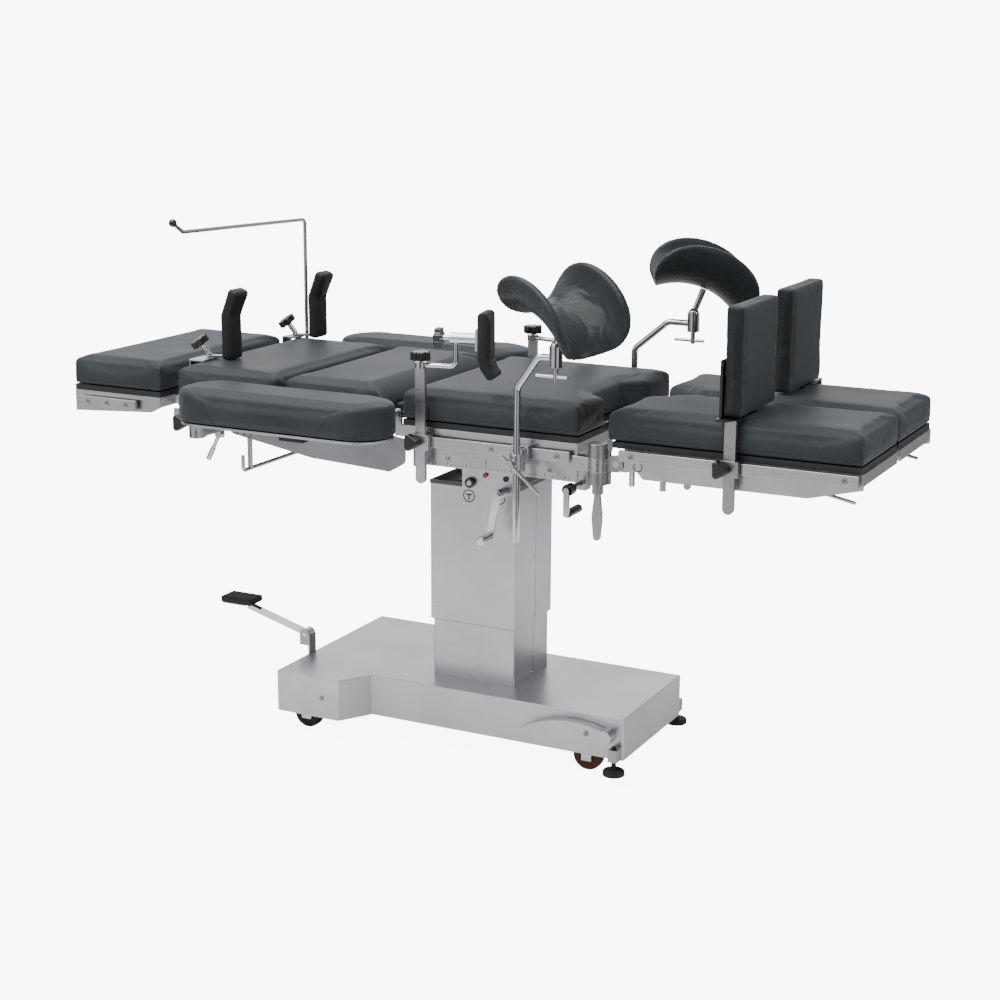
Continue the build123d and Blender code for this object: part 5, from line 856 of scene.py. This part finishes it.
rail_face = 0.2856
rail_screw_shades = (
    ("seat_rail_screw_shades", "seat", both_sides, (-0.020, 0.1445, 0.309), 0.7935),
    ("back_rail_screw_shades", "back", both_sides, (-0.708, -0.4715, -0.235), 0.7935),
    ("head_rail_screw_shades", "head", both_sides, (-1.004, -0.945, -0.886), 0.7995),
    ("near_leg_rail_screw_shades", "near_leg", (-1,), (0.488, 0.729, 0.970), 0.8105),
    ("far_leg_rail_screw_shades", "far_leg", (1,), (0.488, 0.729, 0.970), 0.8105),
)
for name, body, sides, places, z in rail_screw_shades:
    screw_shades = [
        ring for side in sides for x in places
        for ring in painted_screw_shade(x, rail_face, z, side, 0.0060)
    ]
    place_piece(name, join_meshes(screw_shades), body, [black_enamel_and_painted_shade])
screw_shades = [
    ring for side in both_sides for x, half in ((-0.338, 0.260), (0.344, 0.179))
    for ring in painted_screw_shade(x, half + 0.0013, 0.107, side, 0.0056)
]
place_piece("base_cover_screw_shades", join_meshes(screw_shades), "base", [black_enamel_and_painted_shade])

# The scale along the seat's side plate: short etched lines with plain numbers,
# filled with black enamel. It shows how far the top has slid on the column.
strokes = {
    "0": [(0, 0, 0, 2), (1, 0, 1, 2), (0, 0, 1, 0), (0, 2, 1, 2)],
    "1": [(0.5, 0, 0.5, 2)],
    "6": [(0, 0, 0, 2), (1, 0, 1, 1), (0, 0, 1, 0), (0, 1, 1, 1), (0, 2, 1, 2)],
}


def etched_number(text, x, z, face_y, tall):
    """A plain number made of thin strokes on a face that looks to -Y."""
    bars = []
    wide = tall * 0.5
    thick = tall * 0.15
    pitch = wide * 1.45
    start = x - (len(text) * pitch - wide * 0.45) / 2
    for place, digit in enumerate(text):
        left = start + place * pitch
        for x0, z0, x1, z1 in strokes[digit]:
            middle = (left + (x0 + x1) / 2 * wide, face_y, z + (z0 + z1) / 2 * tall / 2)
            size = (abs(x1 - x0) * wide + thick, 0.0004, abs(z1 - z0) * tall / 2 + thick)
            bars.append(short_bar(middle, size))
    return bars


scale_bars = []
plate_face = -0.2701
scale_zero = 0.1228
for step in range(-16, 22):
    x = scale_zero + step * 0.01
    tall = 0.010 if step % 5 == 0 else 0.005
    scale_bars.append(short_bar((x, plate_face, 0.7395 + tall / 2), (0.0012, 0.0004, tall)))
for text, x in (("100", 0.0228), ("0", scale_zero), ("160", 0.2828)):
    scale_bars += etched_number(text, x, 0.7525, plate_face, 0.0068)
place_piece("seat_scale_marks", join_meshes(scale_bars), "seat", [black_enamel_and_painted_shade])

# Generic round marks: a bare etched ring beside each handle, without a picture.
cover_rings = [
    flat_ring((-0.564, plate_face, 0.7625), near_way, 0.0056, 0.0076),
    flat_ring((-0.531, plate_face, 0.7610), near_way, 0.0106, 0.0126),
]
leg_ring = [flat_ring((0.4985, plate_face, 0.7862), near_way, 0.0090, 0.0110)]
place_piece("back_cover_rings", join_meshes(cover_rings), "back", [black_enamel_and_painted_shade])
place_piece("near_leg_ring", join_meshes(leg_ring), "near_leg", [black_enamel_and_painted_shade])

# The kidney bridge: a narrow padded beam on two chromed rods, wound up by the
# small crank with its black grip under the foot end of the seat.
bridge_rods, bridge_beam = sorted(loose_parts("kidney_bridge"), key=lambda part: reach(part)[0].z)[:2]
bridge_metal = place_piece("kidney_bridge_rods", bridge_rods, "bridge", [chrome])
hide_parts("kidney_bridge")
stuffed(
    "kidney_bridge_pad", bridge_beam, "bridge", charcoal_dark, voxel=0.004, draw=0.001, cap=0.002
)


def bridge_crank_finish(point, box):
    """Black for the grip and for the hub's collar on the seat's side."""
    grip = box[0].z > 0.63 and box[1].z < 0.665
    hub = point.z > 0.690 and -0.2355 < point.y < -0.2125
    return 1 if grip or hub else 0


part_dressed(
    "bridge_crank_handle", "bridge_crank", "bridge_handle", [chrome, gloss_black],
    bridge_crank_finish,
)

# The arm boards: a long foam pad with rounded ends on a folded tray, its cover
# sewn with slanted seams near both ends, swinging on a clamp on the back rail.
strap_web = rubber("strap_webbing", (0.010, 0.010, 0.011), (0.022, 0.022, 0.024), 900.0)
seam_ends = (
    ((-0.165, 0.864), (0.764, 0, -0.645)),
    ((-0.498, 0.868), (0.79, 0, 0.61)),
)
for name, side, shift in (("near", -1, 0.0), ("far", 1, -0.060)):
    node = name + "_arm_board"
    body = name + "_arm"
    tray, pad = sorted(loose_parts(node), key=lambda part: reach(part)[0].z)
    strap_x = -0.262 + shift
    for face in tray.faces:
        middle = face.calc_center_median()
        face.material_index = 1 if middle.z < 0.8155 and abs(middle.x - strap_x) < 0.0325 else 0
    tray_piece = place_piece(node + "_tray", tray, body, [stainless, strap_web])
    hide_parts(node)
    pad_piece = stuffed(node + "_pad", pad, body, charcoal)

    def outer_side(point, side=side):
        """Where the slanted seams show: the pad's outer side, below its top edge."""
        return point.y * side > 0.45 and point.z < 0.899

    for (seam_x, seam_z), slant in seam_ends:
        sewn_seam(pad_piece, (seam_x + shift, 0, seam_z), slant, test=outer_side)
    welt(pad_piece, 0.831)
    tab = short_bar((strap_x + 0.067, side * 0.470, 0.8140), (0.074, 0.014, 0.0030))
    place_piece(name + "_arm_strap_tab", tab, body, [strap_web])


# The shoulder supports: upright foam pads that lean towards the patient, each on
# a chromed bar clamped to its bracket by a tilted black star knob.
knob_way = Vector((-0.014, -0.010, 0.024)).normalized()
for name, bar_y in (("near", -0.165), ("far", 0.230)):
    node = name + "_shoulder_support"
    body = name + "_shoulder"
    bar, pad = sorted(loose_parts(node), key=lambda part: reach(part)[1].z)
    knob_foot = Vector((-0.726, bar_y - 0.010, 0.9513))
    for face in bar.faces:
        up_stem = (face.calc_center_median() - knob_foot).dot(knob_way)
        face.material_index = 1 if up_stem > -0.0004 else 0
    bar_piece = place_piece(body + "_bar", bar, body, [chrome, gloss_black])
    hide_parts(node)
    stuffed(body + "_pad", pad, body, charcoal_dark, voxel=0.0035, draw=0.0015, cap=0.003)


# The screen rod: one bent chromed rod with a black ball on its tip.
def screen_finish(point, box):
    """Black for the ball."""
    ball_middle = Vector((-0.718, -0.290, 1.262))
    ball_reach = 0.0105
    return 1 if (point - ball_middle).length < ball_reach else 0


part_dressed(
    "screen_rod_bent", "screen_rod", "screen", [chrome, gloss_black], screen_finish
)

# The lateral supports: a flat post in a rail clamp, a cranked arm with a turned
# hub, two black star knobs and a curved pad on a chromed plate.
arm_lean = math.radians(12)
knob_height = 0.0203
for name, side in (("near", -1), ("far", 1)):
    knob_foot_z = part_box(name + "_support_post")[1][2] - knob_height

    def post_finish(point, box, knob_foot_z=knob_foot_z):
        """Black for the star knob on top and the clamp's knob on the rail."""
        clamp_knob = abs(point.y) > 0.3048 and 0.77 < point.z < 0.82 and point.x < -0.02
        return 1 if point.z > knob_foot_z or clamp_knob else 0

    part_dressed(
        name + "_support_post_bar", name + "_support_post", name + "_post",
        [stainless, gloss_black], post_finish,
    )
    node = name + "_support_arm"
    body = name + "_side_support"
    arm, pad = sorted(loose_parts(node), key=lambda part: (reach(part)[1] - reach(part)[0]).z)
    knob_low = reach(arm)[1].z - 0.052
    for face in arm.faces:
        middle = face.calc_center_median()
        out_x = (middle.x + 0.034) * math.cos(arm_lean)
        out_y = (middle.y - side * 0.2932) * side * math.sin(arm_lean)
        is_knob = 0.030 < out_x - out_y < 0.0515 and middle.z > knob_low
        face.material_index = 1 if is_knob else 0
    arm_piece = place_piece(node + "_rod", arm, body, [chrome, gloss_black])
    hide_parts(node)
    stuffed(
        name + "_support_pad", pad, body, charcoal_dark, voxel=0.0035, draw=0.0015, cap=0.003
    )

# The leg holders: a chromed rod bent twice, a ball joint locked by a tee handle,
# and a padded trough for the knee.
for name in ("near", "far"):
    finish_node(name + "_holder_rod", chrome)
    node = name + "_holder_pad"
    body = name + "_trough"
    found = sorted(loose_parts(node), key=lambda part: (reach(part)[1] - reach(part)[0]).length)
    stalk_piece = place_piece(name + "_holder_ball", found[0], body, [chrome])
    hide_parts(node)
    stuffed(
        name + "_holder_trough", found[-1], body, moulded_skin, voxel=0.0045, draw=0.0018, cap=0.003
    )


# The foot boards: a padded plate, its faces that look along Y darker in tone, standing on a flat post
# in a leg rail clamp.
def foot_finish(point):
    """Black for the post's tip behind the pad and for the clamp's knob."""
    clamp_knob = abs(point.y) > 0.3048 and 0.78 < point.z < 0.84 and point.x < 0.735
    return 1 if point.z > 0.9100 or clamp_knob else 0


for name in ("near", "far"):
    node = name + "_foot_board"
    body = name + "_foot"
    found = sorted(loose_parts(node), key=lambda part: (reach(part)[1] - reach(part)[0]).y)
    post, pad = found[0], found[-1]
    for face in post.faces:
        face.material_index = foot_finish(face.calc_center_median())
    post_piece = place_piece(body + "_post", post, body, [machined, gloss_black])
    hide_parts(node)
    foot_pad = stuffed(body + "_pad", pad, body, charcoal, voxel=0.005, draw=0.0015, cap=0.003)
    foot_pad.data.materials.append(charcoal_dark)
    for face in foot_pad.data.polygons:
        face.material_index = 1 if abs(face.normal.y) > 0.6 else 0
